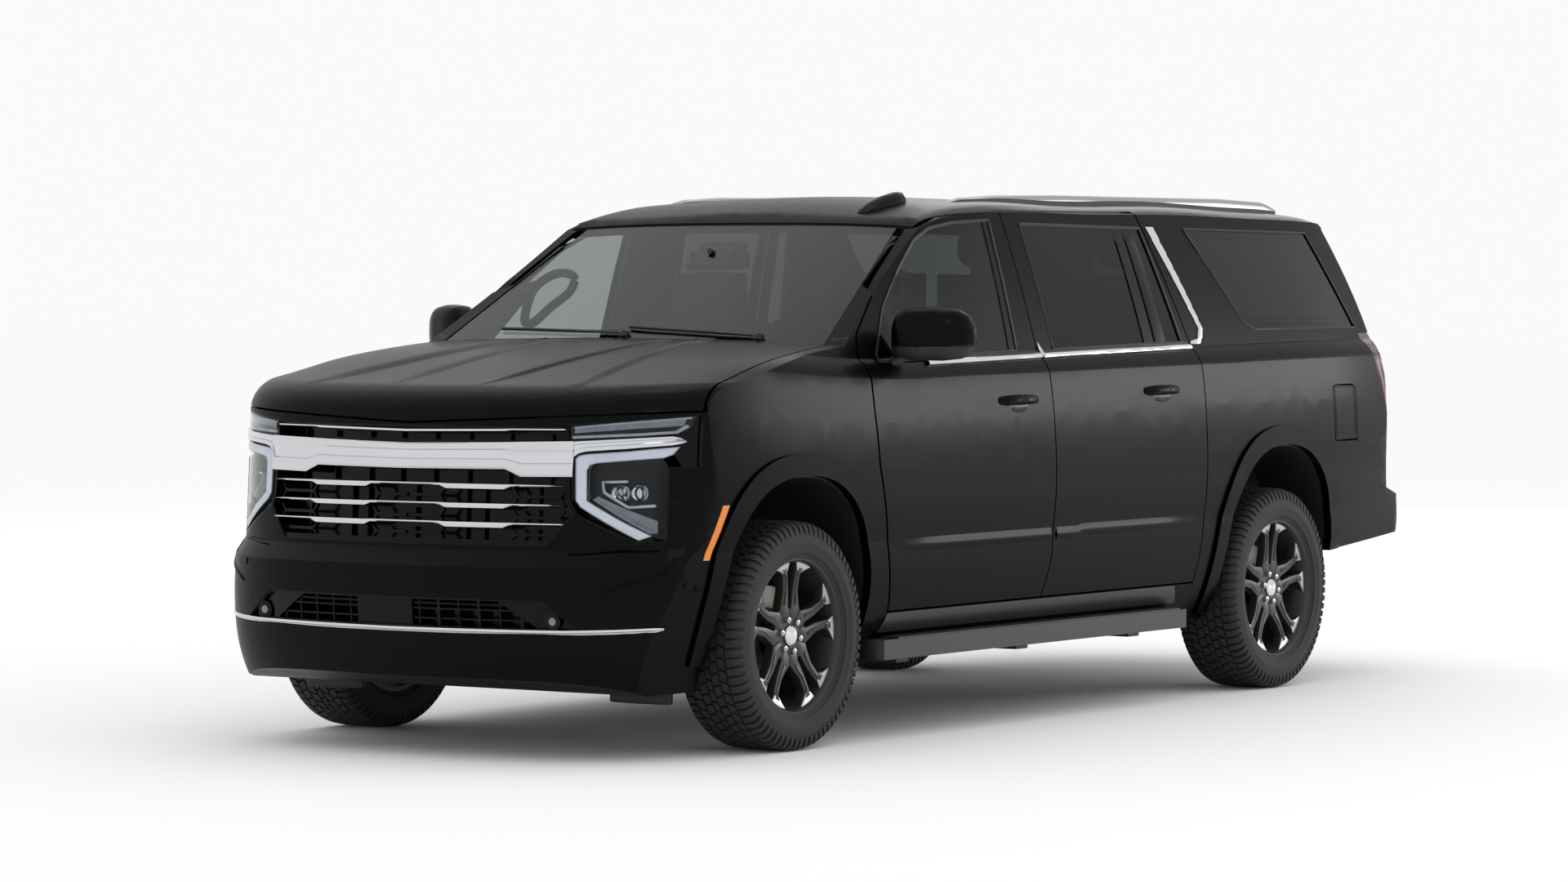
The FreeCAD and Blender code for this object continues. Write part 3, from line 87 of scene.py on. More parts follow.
def mm(x: float, y: float, z: float) -> Vector:
    """Point in metres from its place in millimetres."""
    return Vector((x, y, z)) * MM


def linear(code: str) -> tuple[float, float, float, float]:
    """Turn an sRGB hex value into linear colour.

    Args:
        code: Six hex digits.

    Returns:
        Red, green, blue and alpha.
    """
    parts = [int(code[index:index + 2], 16) / 255 for index in (0, 2, 4)]
    red, green, blue = [part / 12.92 if part <= 0.04045 else ((part + 0.055) / 1.055) ** 2.4
                        for part in parts]
    return red, green, blue, 1.0


def add_node(tree: bpy.types.NodeTree, kind: str, settings: dict, links: dict) -> bpy.types.Node:
    """Add a shader node with its settings and incoming links.

    Args:
        tree: Node tree of a material or world.
        kind: Node type name.
        settings: Attributes or input values by name.
        links: Output sockets by input name.

    Returns:
        The new node.
    """
    node = tree.nodes.new(kind)
    for name, value in settings.items():
        if name in node.inputs:
            node.inputs[name].default_value = value
        else:
            setattr(node, name, value)
    for name, socket in links.items():
        tree.links.new(socket, node.inputs[name])
    return node


@dataclass(frozen=True)
class Finish:
    """Surface finish of a real material.

    grain_mm is the size of its texture, dent_mm the texture's depth, shade how
    far the texture darkens the colour and slot the record's slot it fills.
    """

    name: str
    colour: str
    roughness: float
    metallic: float = 0.0
    coat: float = 0.0
    clear: float = 0.0
    grain_mm: float = 1.5
    dent_mm: float = 0.0
    shade: float = 0.12
    glow: float = 0.0
    index: float = 1.5
    shine: float = 0.5
    mirror: str = "ffffff"
    stretch: tuple[float, float, float] = (1.0, 1.0, 1.0)
    slot: str = "black_trim"
    coat_roughness: ClassVar[float] = 0.17
    grain_detail: ClassVar[float] = 3.0
    grain_span: ClassVar[Point] = (0.35, 0.65)

    def material(self) -> bpy.types.Material:
        """Build the material once and reuse it.

        Returns:
            The material of this finish.
        """
        found = bpy.data.materials.get(self.name)
        if found:
            return found
        made = bpy.data.materials.new(self.name)
        made.use_nodes = True
        tree = made.node_tree
        shader = tree.nodes["Principled BSDF"]
        values = {
            "Roughness": self.roughness, "Metallic": self.metallic, "Coat Weight": self.coat,
            "Coat Roughness": self.coat_roughness, "IOR": self.index, "Specular IOR Level": self.shine,
            "Specular Tint": linear(self.mirror), "Transmission Weight": self.clear,
        }
        for socket, value in values.items():
            shader.inputs[socket].default_value = value
        base = linear(self.colour)
        place = add_node(tree, "ShaderNodeTexCoord", {}, {})
        mapped = add_node(tree, "ShaderNodeMapping", {"Scale": self.stretch},
                          {"Vector": place.outputs["Object"]})
        # Noise shows about four grains a cycle, and its scale counts cycles in a metre.
        grain = add_node(tree, "ShaderNodeTexNoise",
                         {"Scale": 1000.0 / self.grain_mm / 4, "Detail": self.grain_detail},
                         {"Vector": mapped.outputs["Vector"]})
        dark = tuple(part * (1 - self.shade) for part in base[:3]) + (1.0,)
        ramp = add_node(tree, "ShaderNodeValToRGB", {}, {"Fac": grain.outputs["Fac"]})
        for stop, position, tone in zip(ramp.color_ramp.elements, self.grain_span, (dark, base)):
            stop.position = position
            stop.color = tone
        tree.links.new(ramp.outputs["Color"], shader.inputs["Base Color"])
        if self.dent_mm > 0:
            bump = add_node(tree, "ShaderNodeBump", {"Strength": 1.0, "Distance": self.dent_mm * MM},
                            {"Height": grain.outputs["Fac"]})
            tree.links.new(bump.outputs["Normal"], shader.inputs["Normal"])
        if self.glow > 0:
            shader.inputs["Emission Color"].default_value = base
            shader.inputs["Emission Strength"].default_value = self.glow
        return made


# Sprayed black paint under clear coat: deep black with soft reflections. Its orange peel is too
# fine to show, so a slow change of tone stands for it.
PAINT = Finish("gloss_black_paint", "020203", 0.35, coat=0.12, grain_mm=120.0, shade=0.2, shine=0.03,
               slot="paint")
# Injection-moulded polypropylene with a fine grain: dark and dull.
PLASTIC = Finish("grained_polypropylene", "121213", 0.55, grain_mm=1.2, dent_mm=0.12)
# Powder-coated aluminium of the steps and sills: satin, dark grey.
STEP = Finish("satin_step_coating", "141415", 0.45, coat=0.08, grain_mm=2.0, dent_mm=0.05)
# Moulded and polished ABS of the grille and the lamp surrounds: black that mirrors.
PIANO = Finish("piano_black_abs", "030304", 0.15, coat=0.1, grain_mm=60.0, shine=0.1)
# Chrome plate on moulded ABS: bright, with sharp reflections.
CHROME = Finish("chrome_plate", "d2d3d6", 0.09, metallic=1.0, grain_mm=90.0, shade=0.03, slot="bright")
# Brushed and anodised aluminium: soft grey sheen, streaked along its length.
SATIN = Finish("anodised_aluminium", "a0a1a3", 0.34, metallic=1.0, grain_mm=0.8, shade=0.06,
               stretch=(0.1, 1.0, 1.0), slot="rail_satin")
# Painted cast aluminium of the wheels: dark grey with a low sheen.
WHEEL_DARK = Finish("dark_painted_aluminium", "292725", 0.4, metallic=0.3, coat=0.1, grain_mm=30.0,
                    slot="alloy")
# Aluminium turned on a lathe, at the wheels' tips: silky and bright.
WHEEL_BRIGHT = Finish("turned_aluminium", "b4b4b5", 0.32, metallic=0.75, grain_mm=1.0, shade=0.08,
                      slot="alloy")
# Vulcanised tyre rubber: matt, almost black.
RUBBER = Finish("tyre_rubber", "1b1b1c", 0.72, grain_mm=2.4, dent_mm=0.15, shade=0.25, slot="tread")
# Laminated float glass of the windshield: clear with a light green-grey tint. Its index is below
# the real 1.52, matched to the photo, whose glass mirrors little from the side.
CLEAR_GLASS = Finish("laminated_glass", "b4bab8", 0.0, clear=1.0, grain_mm=400.0, shade=0.03, index=1.3,
                     mirror="606464", slot="window")
# Body-tinted privacy glass of the side and rear windows: dark, with the same index.
DARK_GLASS = Finish("privacy_glass", "4c4f50", 0.0, clear=1.0, grain_mm=400.0, shade=0.03, index=1.3,
                    mirror="606464", slot="window")
# Moulded polycarbonate of the lamp lenses: clear, with a hard glint.
LENS = Finish("polycarbonate_lens", "f2f4f5", 0.02, clear=1.0, grain_mm=300.0, shade=0.02, index=1.58,
              mirror="707478", slot="lens")
# Frosted acrylic light guide, lit softly: even blue-white.
LIGHT_GUIDE = Finish("frosted_light_guide", "b4bac6", 0.3, grain_mm=20.0, shade=0.1, glow=0.08, slot="lens")
# Vacuum-metallised plastic inside the lamps: a grey mirror.
REFLECTOR = Finish("metallised_reflector", "7f838a", 0.2, metallic=0.9, grain_mm=12.0, shade=0.15,
                   slot="lens")
# Moulded amber acrylic of the side markers: warm and even.
AMBER = Finish("amber_lens", "d97906", 0.25, coat=0.5, grain_mm=5.0, shade=0.1, glow=0.12, slot="lens")
# Deep red acrylic of the tail lamps: almost black until it is lit.
RED_LENS = Finish("tail_lamp_cover", "2c0305", 0.14, coat=0.3, grain_mm=8.0, shade=0.3, slot="red_lens")
# Red acrylic light guides of the rear lamps: brighter lines in the dark cover.
RED_GUIDE = Finish("red_light_guide", "620609", 0.2, coat=0.2, grain_mm=6.0, shade=0.2, glow=0.03,
                   slot="red_lens")
# Ground steel of the brake discs: pale rings with a dry sheen.
STEEL = Finish("ground_steel", "8e8c88", 0.35, metallic=1.0, grain_mm=1.0, shade=0.15, slot="cast")
# Cast iron of knuckles and arms: rough and dark grey.
IRON = Finish("cast_iron", "3a3835", 0.62, metallic=0.6, grain_mm=2.0, dent_mm=0.25, slot="cast")
# Wax-dipped steel of the chassis: black and dull.
CHASSIS = Finish("chassis_wax_coat", "111112", 0.5, grain_mm=3.0, dent_mm=0.1, slot="frame_paint")
# Dyed and grained leather of the seats: soft black with a low sheen.
LEATHER = Finish("black_leather", "191817", 0.5, grain_mm=1.6, dent_mm=0.2, shade=0.2, slot="cushion")
# Soft-touch vinyl moulding of the cabin: matt black.
CABIN = Finish("soft_touch_vinyl", "151516", 0.6, grain_mm=1.0, dent_mm=0.1, slot="interior")
# Black cover glass of the displays and the door mirrors: smooth and mirroring.
SCREEN = Finish("display_glass", "050608", 0.06, coat=1.0, grain_mm=100.0, slot="interior")


def even_normals(item: bpy.types.Object) -> None:
    """Weight an object's normals by face size and keep its crisp edges."""
    normals = item.modifiers.new("normals", "WEIGHTED_NORMAL")
    normals.keep_sharp = True


def smooth_node(name: str, finish: Finish) -> None:
    """Give a CAD node its finish and soft shading.

    Args:
        name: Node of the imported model.
        finish: Finish for all its faces.
    """
    item = frame["nodes"][name]
    if not item.material_slots:
        item.data.materials.append(finish.material())
    for slot in item.material_slots:
        slot.material = finish.material()
    item.data.polygons.foreach_set("use_smooth", [True] * len(item.data.polygons))
    weld = item.modifiers.new("weld", "WELD")
    weld.merge_threshold = NODE_WELD
    split = item.modifiers.new("split", "EDGE_SPLIT")
    split.split_angle = math.radians(NODE_CREASE)
    split.use_edge_sharp = False
    even_normals(item)


def add_piece(name: str, mesh_edit: Mesh, finish: Finish, body: str = "body", slot: str = "",
              replaces: Sequence[str] = (), angle: float = PIECE_CREASE) -> bpy.types.Object:
    """Turn an edited mesh into a finished piece that rides on a body.

    Args:
        name: Piece name.
        mesh_edit: Mesh under construction, freed here.
        finish: Finish of the piece.
        body: Body it moves with.
        slot: Material slot of the record, where it isn't the finish's own; not used.
        replaces: CAD nodes it stands for.
        angle: Edges sharper than this in degrees stay crisp.

    Returns:
        The new object.
    """
    bmesh.ops.remove_doubles(mesh_edit, verts=mesh_edit.verts, dist=PIECE_WELD)
    bmesh.ops.recalc_face_normals(mesh_edit, faces=mesh_edit.faces)
    mesh = bpy.data.meshes.new(name)
    mesh_edit.to_mesh(mesh)
    mesh_edit.free()
    mesh.polygons.foreach_set("use_smooth", [True] * len(mesh.polygons))
    mesh.set_sharp_from_angle(angle=math.radians(angle))
    item = bpy.data.objects.new(name, mesh)
    bpy.context.scene.collection.objects.link(item)
    mesh.materials.append(finish.material())
    slot = slot or finish.slot
    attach(item, body)
    if replaces:
        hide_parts(*replaces)
    log.info("%s: %d faces", name, len(mesh.polygons))
    return item


def absorb(target: Mesh, source: Mesh) -> None:
    """Join one edited mesh into another and free it.

    Args:
        target: Mesh that grows.
        source: Mesh that is used up.
    """
    holder = bpy.data.meshes.new("holder")
    source.to_mesh(holder)
    source.free()
    target.from_mesh(holder)
    bpy.data.meshes.remove(holder)


def trimmed(node: str, spot: Vector, aim: Vector, limit: float) -> Mesh:
    """Copy of a CAD node with a corner cut away.

    Args:
        node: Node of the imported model.
        spot: Point of the cutting plane, in metres.
        aim: Side of the plane that goes.
        limit: The cut reaches only faces behind this X, in metres.

    Returns:
        The new mesh.
    """
    made = bmesh.new()
    made.from_mesh(frame["nodes"][node].data)
    bmesh.ops.remove_doubles(made, verts=made.verts, dist=NODE_WELD)
    faces = [face for face in made.faces if min(vert.co.x for vert in face.verts) < limit]
    edges = {edge for face in faces for edge in face.edges}
    verts = {vert for face in faces for vert in face.verts}
    cut = bmesh.ops.bisect_plane(made, geom=list(verts) + list(edges) + faces, plane_co=spot, plane_no=aim,
                                 clear_outer=True)["geom_cut"]
    rim = [item for item in cut if isinstance(item, bmesh.types.BMEdge)]
    bmesh.ops.triangle_fill(made, use_beauty=True, use_dissolve=False, edges=rim, normal=aim)
    return made


def mirrored(source: Mesh) -> Mesh:
    """Copy of an edited mesh on the other side of the vehicle.

    Args:
        source: Mesh under construction, left as it is.

    Returns:
        The mirror image.
    """
    copy = source.copy()
    bmesh.ops.scale(copy, vec=(1, -1, 1), verts=copy.verts)
    bmesh.ops.reverse_faces(copy, faces=copy.faces)
    return copy


def both(source: Mesh) -> Mesh:
    """Edited mesh together with its mirror image."""
    absorb(source, mirrored(source))
    return source


def loft(rings: Sequence[Sequence[Vector]], closed: bool = False) -> Mesh:
    """Skin through rings of points, capped unless it closes on itself.

    Args:
        rings: Rings with the same number of points.
        closed: The last ring joins the first one.

    Returns:
        The new mesh.
    """
    made = bmesh.new()
    start = [made.verts.new(point) for point in rings[0]]
    edges = [made.edges.new(ends) for ends in zip(start, start[1:] + start[:1])]
    if not closed:
        made.faces.new(start)
    row = start
    for ring in rings[1:]:
        grown = bmesh.ops.extrude_edge_only(made, edges=edges)["geom"]
        fresh = {item for item in grown if isinstance(item, bmesh.types.BMVert)}
        edges = [item for item in grown if isinstance(item, bmesh.types.BMEdge)
                 and item.verts[0] in fresh and item.verts[1] in fresh]
        row = [next(edge.other_vert(vert) for edge in vert.link_edges if edge.other_vert(vert) in fresh)
               for vert in row]
        for vert, point in zip(row, ring):
            vert.co = point
    if closed:
        bmesh.ops.bridge_loops(made, edges=edges + [edge for edge in made.edges if edge.is_boundary
                                                    and edge not in edges])
    else:
        made.faces.new(row)
    return made


def patch(outline: Sequence[Point], place: Place, cell: float, depth: float, lift: float = 0.0,
          bevel: float = 0.0) -> Mesh:
    """Plate with a flat outline laid on a curved surface.

    Args:
        outline: Corners in the surface's own two coordinates, in mm.
        place: Gives the point at the coordinates and a depth under the surface.
        cell: Size of its faces, in mm.
        depth: Thickness inwards, in mm.
        lift: How far its face stands proud, in mm.
        bevel: Rounding of its outer edge, in mm.

    Returns:
        The new mesh.
    """
    made = bmesh.new()
    made.faces.new([made.verts.new((u, v, 0)) for u, v in outline])
    for axis in (0, 1):
        low = min(point[axis] for point in outline)
        high = max(point[axis] for point in outline)
        count = max(1, int((high - low) / cell))
        normal = Vector((1, 0, 0)) if axis == 0 else Vector((0, 1, 0))
        for step in range(1, count):
            spot = normal * (low + (high - low) * step / count)
            bmesh.ops.bisect_plane(made, geom=made.verts[:] + made.edges[:] + made.faces[:],
                                   plane_co=spot, plane_no=normal, dist=0.01)
    if bevel > 0:
        bmesh.ops.inset_region(made, faces=made.faces[:], thickness=bevel, depth=0.0, use_even_offset=True)
        for vert in made.verts:
            vert.co.z = bevel * 0.8 if vert.is_boundary else 0.0
    grown = bmesh.ops.extrude_face_region(made, geom=made.faces[:])["geom"]
    for vert in [item for item in grown if isinstance(item, bmesh.types.BMVert)]:
        vert.co.z = depth + lift
    for vert in made.verts:
        vert.co = place(vert.co.x, vert.co.y, vert.co.z - lift)
    return made


def ribbon(path: Sequence[Point], place: Place, half_width: float, proud: float, sunk: float = 2.0,
           step: float = 25.0, ends: float = 1.0, closed: bool = False, fade: int = 2) -> Mesh:
    """Rounded strip that follows a line on a surface.

    Args:
        path: Line in the surface's own two coordinates, in mm.
        place: Gives the point at the coordinates and a depth under the surface.
        half_width: Half of the strip's width, in mm.
        proud: Height above the surface, in mm.
        sunk: Depth below the surface, in mm.
        step: Distance between cross-sections, in mm.
        ends: Share of the width kept at the two ends.
        closed: The strip runs all round.
        fade: Cross-sections over which the ends narrow.

    Returns:
        The new mesh.
    """
    line = [Vector(point) for point in path]
    if closed:
        line.append(line[0])
    spots = []
    for first, last in zip(line, line[1:]):
        count = max(1, int((last - first).length / step))
        spots += [first.lerp(last, index / count) for index in range(count)]
    if not closed:
        spots.append(line[-1])
    rings = []
    total = len(spots)
    for index, spot in enumerate(spots):
        before = spots[index - 1] if index or closed else spot
        after = spots[(index + 1) % total] if index + 1 < total or closed else spot
        along = (after - before).normalized()
        across = Vector((-along.y, along.x))
        near_end = min(index, total - 1 - index)
        share = 1.0 if closed or near_end >= fade else ends + (1 - ends) * near_end / fade
        wide = half_width * share
        rise = proud * (share if fade > 2 else 1.0)
        half = [(wide, sunk), (wide, -rise * SHOULDER_RISE), (wide * CROWN_WIDTH, -rise * CROWN_RISE)]
        profile = [(-shift, level) for shift, level in half] + [(0, -rise)] + half[::-1]
        rings.append([place(*(spot + across * shift), level) for shift, level in profile])
    return loft(rings, closed)


def ring_solid(profile: Sequence[Point], steps: int) -> Mesh:
    """Ring turned about the Y axis.

    Args:
        profile: Closed outline as (distance along Y, radius) in mm.
        steps: Segments of a full turn.

    Returns:
        The new mesh.
    """
    made = bmesh.new()
    verts = [made.verts.new((0, y * MM, radius * MM)) for y, radius in profile]
    edges = [made.edges.new(ends) for ends in zip(verts, verts[1:] + verts[:1])]
    bmesh.ops.spin(made, geom=verts + edges, cent=(0, 0, 0), axis=(0, 1, 0), dvec=(0, 0, 0),
                   angle=math.tau, steps=steps, use_merge=True, use_duplicate=False)
    return made


def turned(source: Mesh, degrees: float) -> Mesh:
    """Copy of an edited mesh, turned about the Y axis.

    Args:
        source: Mesh under construction, left as it is.
        degrees: Turn in degrees.

    Returns:
        The turned copy.
    """
    copy = source.copy()
    bmesh.ops.rotate(copy, cent=(0, 0, 0), matrix=Matrix.Rotation(math.radians(degrees), 3, "Y"),
                     verts=copy.verts)
    return copy


def around(one: Mesh, count: int) -> Mesh:
    """Copies of a mesh all round the Y axis.

    Args:
        one: Mesh under construction, used up.
        count: Number of copies.

    Returns:
        The new mesh.
    """
    made = bmesh.new()
    for index in range(count):
        absorb(made, turned(one, 360 / count * index))
    one.free()
    return made


def disc(radius: float, depth: float, centre: Vector, axis: Vector, segments: int = 32,
         bevel: float = 0.0, top: float = 1.0) -> Mesh:
    """Short cylinder or cone centred on a point.

    Args:
        radius: Radius in mm.
        depth: Length in mm.
        centre: Middle in metres.
        axis: Direction of its length.
        segments: Sides.
        bevel: Rounding of the edges in mm.
        top: Share of the radius at the far end.

    Returns:
        The new mesh.
    """
    made = bmesh.new()
    bmesh.ops.create_cone(made, cap_ends=True, segments=segments, radius1=radius * MM,
                          radius2=radius * top * MM, depth=depth * MM)
    if bevel > 0:
        rims = [edge for edge in made.edges if abs(edge.calc_face_angle(0)) > RIM_BEND]
        bmesh.ops.bevel(made, geom=rims, offset=bevel * MM, segments=2, profile=0.5, affect="EDGES",
                        material=-1)
    turn = Vector((0, 0, 1)).rotation_difference(axis).to_matrix().to_4x4()
    bmesh.ops.transform(made, matrix=Matrix.Translation(centre) @ turn, verts=made.verts)
    return made


def cushion_block(low: Vector, high: Vector, bevel: float, crown: float, levels: int = 3) -> Mesh:
    """Rounded block whose faces swell, as a padded form.

    Args:
        low: Lowest corner in metres.
        high: Highest corner in metres.
        bevel: Edge rounding in mm.
        crown: Swelling of its faces in mm.
        levels: Subdivision cuts.

    Returns:
        The new mesh.
    """
    made = bmesh.new()
    bmesh.ops.create_cube(made, size=1.0)
    size = high - low
    bmesh.ops.scale(made, vec=size, verts=made.verts)
    bmesh.ops.translate(made, vec=(low + high) / 2, verts=made.verts)
    bmesh.ops.bevel(made, geom=made.edges[:], offset=bevel * MM, segments=4, profile=0.5, affect="EDGES",
                    material=-1)
    long_edges = [edge for edge in made.edges if edge.calc_length() > bevel * MM]
    bmesh.ops.subdivide_edges(made, edges=long_edges, cuts=2 ** levels - 1, use_grid_fill=True)
    centre = (low + high) / 2
    for vert in made.verts:
        share = [(vert.co[axis] - centre[axis]) / (size[axis] / 2) for axis in range(3)]
        for axis in range(3):
            others = [share[index] for index in range(3) if index != axis]
            swell = crown * MM * (1 - others[0] ** 2) * (1 - others[1] ** 2)
            vert.co[axis] += math.copysign(swell, share[axis]) * abs(share[axis]) ** 3
    return made


def widths(points: Sequence[Point]) -> list[Point]:
    """Symmetric closed outline from its left half, ordered from the middle outwards and back."""
    return list(points) + [(-y, z) for y, z in reversed(points) if y > 0]


def oval(u: float, v: float, reach: float, rise: float, count: int = 20) -> list[Point]:
    """Outline of an ellipse about a point, from its two half axes."""
    turns = [math.tau * step / count for step in range(count)]
    return [(u + math.cos(turn) * reach, v + math.sin(turn) * rise) for turn in turns]


def between(table: Sequence[tuple[float, ...]], place: float) -> list[float]:
    """Values of a table at a place, in straight lines between its rows.

    Args:
        table: Rows of a place and values, in rising order.
        place: Where to read.

    Returns:
        The values there.
    """
    if place <= table[0][0]:
        return list(table[0][1:])
    for low, high in zip(table, table[1:]):
        if place <= high[0]:
            share = (place - low[0]) / (high[0] - low[0])
            return [a + (b - a) * share for a, b in zip(low[1:], high[1:])]
    return list(table[-1][1:])


def bar(stations: Sequence[tuple[float, float, float]], section: Sequence[Point], place: Place,
        step: float = 40.0) -> Mesh:
    """Bar along Y with a height that changes, on the front face.

    Args:
        stations: Rows of y, upper z and lower z in mm.
        section: Outline as (share of the height, depth in mm).
        place: Gives the point at y, z and a depth.
        step: Longest distance between rings in mm.

    Returns:
        The new mesh.
    """
    spots = []
    for low, high in zip(stations, stations[1:]):
        count = max(1, int((high[0] - low[0]) / step))
        spots += [low[0] + (high[0] - low[0]) * index / count for index in range(count)]
    spots.append(stations[-1][0])
    rings = []
    for y in spots:
        upper, lower = between(stations, y)
        rings.append([place(y, lower + (upper - lower) * share, depth) for share, depth in section])
    return loft(rings)


def spread(stations: Sequence[tuple[float, ...]]) -> list[tuple[float, ...]]:
    """Stations of both sides from those of the left side."""
    return [(-row[0], *row[1:]) for row in reversed(stations) if row[0] > 0] + list(stations)


def tube(path: Sequence[Vector], radius: float, sides: int = 10, closed: bool = False,
         squash: float = 1.0) -> Mesh:
    """Round bar along a path in space.

    Args:
        path: Points in metres.
        radius: Radius in mm.
        sides: Sides of its section.
        closed: The bar runs all round.
        squash: Height share of the section.

    Returns:
        The new mesh.
    """
    rings = []
    up = Vector((0, 0, 1))
    count = len(path)
    for index, spot in enumerate(path):
        before = path[index - 1] if index or closed else spot
        after = path[(index + 1) % count] if index + 1 < count or closed else spot
        along = (after - before).normalized()
        across = along.cross(up)
        if across.length < 0.1:
            across = along.cross(Vector((1, 0, 0)))
        across.normalize()
        rise = across.cross(along)
        rings.append([spot + (across * math.cos(math.tau * step / sides)
                              + rise * math.sin(math.tau * step / sides) * squash) * radius * MM
                      for step in range(sides)])
    return loft(rings, closed)


def rounded(path: Sequence[Vector], steps: int, closed: bool = False) -> list[Vector]:
    """Smooth line through points.

    Args:
        path: Points to pass.
        steps: New points on each span.
        closed: The line returns to its start.

    Returns:
        The denser points.
    """
    count = len(path)
    fine = []
    for index in range(count if closed else count - 1):
        one, two = path[index], path[(index + 1) % count]
        before = path[index - 1] if index or closed else one
        after = path[(index + 2) % count] if index + 2 < count or closed else two
        for step in range(steps):
            t = step / steps
            bend = 2 * before - 5 * one + 4 * two - after
            twist = 3 * one - before - 3 * two + after
            fine.append(0.5 * ((2 * one) + (two - before) * t + bend * t ** 2 + twist * t ** 3))
    if not closed:
        fine.append(path[-1])
    return fine


def pair_piece(name: str, source: Mesh, finish: Finish, body: str, slot: str = "",
               replaces: str = "") -> None:
    """Left piece and its mirror image on the right, each on its own body.

    Args:
        name: Piece name, followed by the side.
        source: Left mesh, used up.
        finish: Finish of both.
        body: Body name with %s for the side, or one body for both.
        slot: Material slot of the record, where it isn't the finish's own.
        replaces: CAD node name with %s for the side.
    """
    for side in Side:
        copy = source.copy() if side is Side.LEFT else mirrored(source)
        where = body % side.word if "%s" in body else body
        gone = [replaces % side.word] if replaces else []
        add_piece("%s_%s" % (name, side.word), copy, finish, where, slot, gone)
    source.free()


class Skin:
    """Outer surface of chosen CAD nodes, found by rays."""

    # A further ray counts where it ends nearer by this share of the reach.
    nearer = 0.3

    def __init__(self, nodes: Iterable[str], reach: float = 0.0) -> None:
        """Gather the triangles of the nodes.

        Args:
            nodes: CAD node names.
            reach: Distance in mm to further rays around each, which bridge narrow gaps.
        """
        self.reach = reach * MM
        points: list[Vector] = []
        faces: list[list[int]] = []
        for name in nodes:
            mesh = frame["nodes"][name].data
            base = len(points)
            points += [vert.co.copy() for vert in mesh.vertices]
            faces += [[base + index for index in poly.vertices] for poly in mesh.polygons]
        self.tree = BVHTree.FromPolygons(points, faces)

    def hit(self, start: Vector, aim: Vector) -> tuple[Vector, Vector]:
        """First point that a ray meets.

        Args:
            start: Start of the ray in metres.
            aim: Its direction.

        Returns:
            The point and the surface's normal towards the ray.
        """
        spot, normal, _, travel = self.tree.ray_cast(start, aim)
        if self.reach:
            one = Vector((aim.y, aim.z, aim.x)) * self.reach
            two = aim.cross(one)
            for shift in (one, two, -one, -two):
                _, other, _, distance = self.tree.ray_cast(start + shift, aim)
                if distance is not None and (travel is None or distance < travel - self.reach * self.nearer):
                    spot, normal, travel = start + aim * distance, other, distance
        if spot is None:
            spot, normal, _, _ = self.tree.find_nearest(start + aim * start.length)
        if normal.dot(aim) > 0:
            normal = -normal
        return spot, normal

    def under(self, start: Vector, aim: Vector, depth: float) -> Vector:
        """Point at a depth in mm under the surface that a ray meets."""
        spot, normal = self.hit(start, aim)
        return spot - normal * depth * MM

    def side(self, x: float, z: float, depth: float) -> Vector:
        """Point under the left side at x and z in mm."""
        return self.under(Vector((x * MM, RAY_SIDE, z * MM)), Vector((0, -1, 0)), depth)

    def inner(self, x: float, z: float, depth: float) -> Vector:
        """Point behind the cabin side of the left wall at x and z in mm."""
        return self.under(Vector((x * MM, RAY_CABIN, z * MM)), Vector((0, 1, 0)), depth)

    def top(self, x: float, y: float, depth: float) -> Vector:
        """Point under the top at x and y in mm."""
        return self.under(Vector((x * MM, y * MM, RAY_TOP)), Vector((0, 0, -1)), depth)

    def front(self, y: float, z: float, depth: float) -> Vector:
        """Point behind the front at y and z in mm."""
        return self.under(Vector((RAY_END, y * MM, z * MM)), Vector((-1, 0, 0)), depth)

    def rear(self, y: float, z: float, depth: float) -> Vector:
        """Point ahead of the rear face at y and z in mm."""
        return self.under(Vector((-RAY_END, y * MM, z * MM)), Vector((1, 0, 0)), depth)


@dataclass
class Nose:
    """Upper front face, as a centre profile swept back towards the sides."""

    half_width: float = 1029.5
    overhang: float = 991.0
    slope_step: float = 5.0
    sweep: tuple[tuple[float, float], ...] = ((0.213, 2.2), (0.300, 8.0))
    profile: tuple[Point, ...] = ((2794.5, 226.0), (2842.5, 330.0), (2869.0, 518.0), (2860.5, 655.0),
                                  (2804.5, 712.0), (2777.5, 1137.0), (2766.5, 1190.0))

    def at(self, y: float, z: float) -> Vector:
        """Point of the face.

        Args:
            y: Place across in mm.
            z: Height in mm.

        Returns:
            The point in mm.
        """
        ahead = self.profile[0][0] if z < self.profile[0][1] else self.profile[-1][0]
        for (x_low, z_low), (x_high, z_high) in zip(self.profile, self.profile[1:]):
            if z_low <= z <= z_high:
                ahead = x_low + (x_high - x_low) * (z - z_low) / (z_high - z_low)
        share = abs(y) / self.half_width
        back = self.overhang * sum(size * share ** power for size, power in self.sweep)
        return Vector((ahead - back, y, z))

    def place(self, y: float, z: float, depth: float) -> Vector:
        """Point behind the face at a depth.

        Args:
            y: Place across in mm.
            z: Height in mm.
            depth: Distance behind the face in mm.

        Returns:
            The point in metres.
        """
        here = self.at(y, z)
        near = self.slope_step
        along = self.at(y + near, z) - self.at(y - near, z)
        up = self.at(y, z + near) - self.at(y, z - near)
        normal = along.cross(up).normalized()
        return (here - normal * depth) * MM


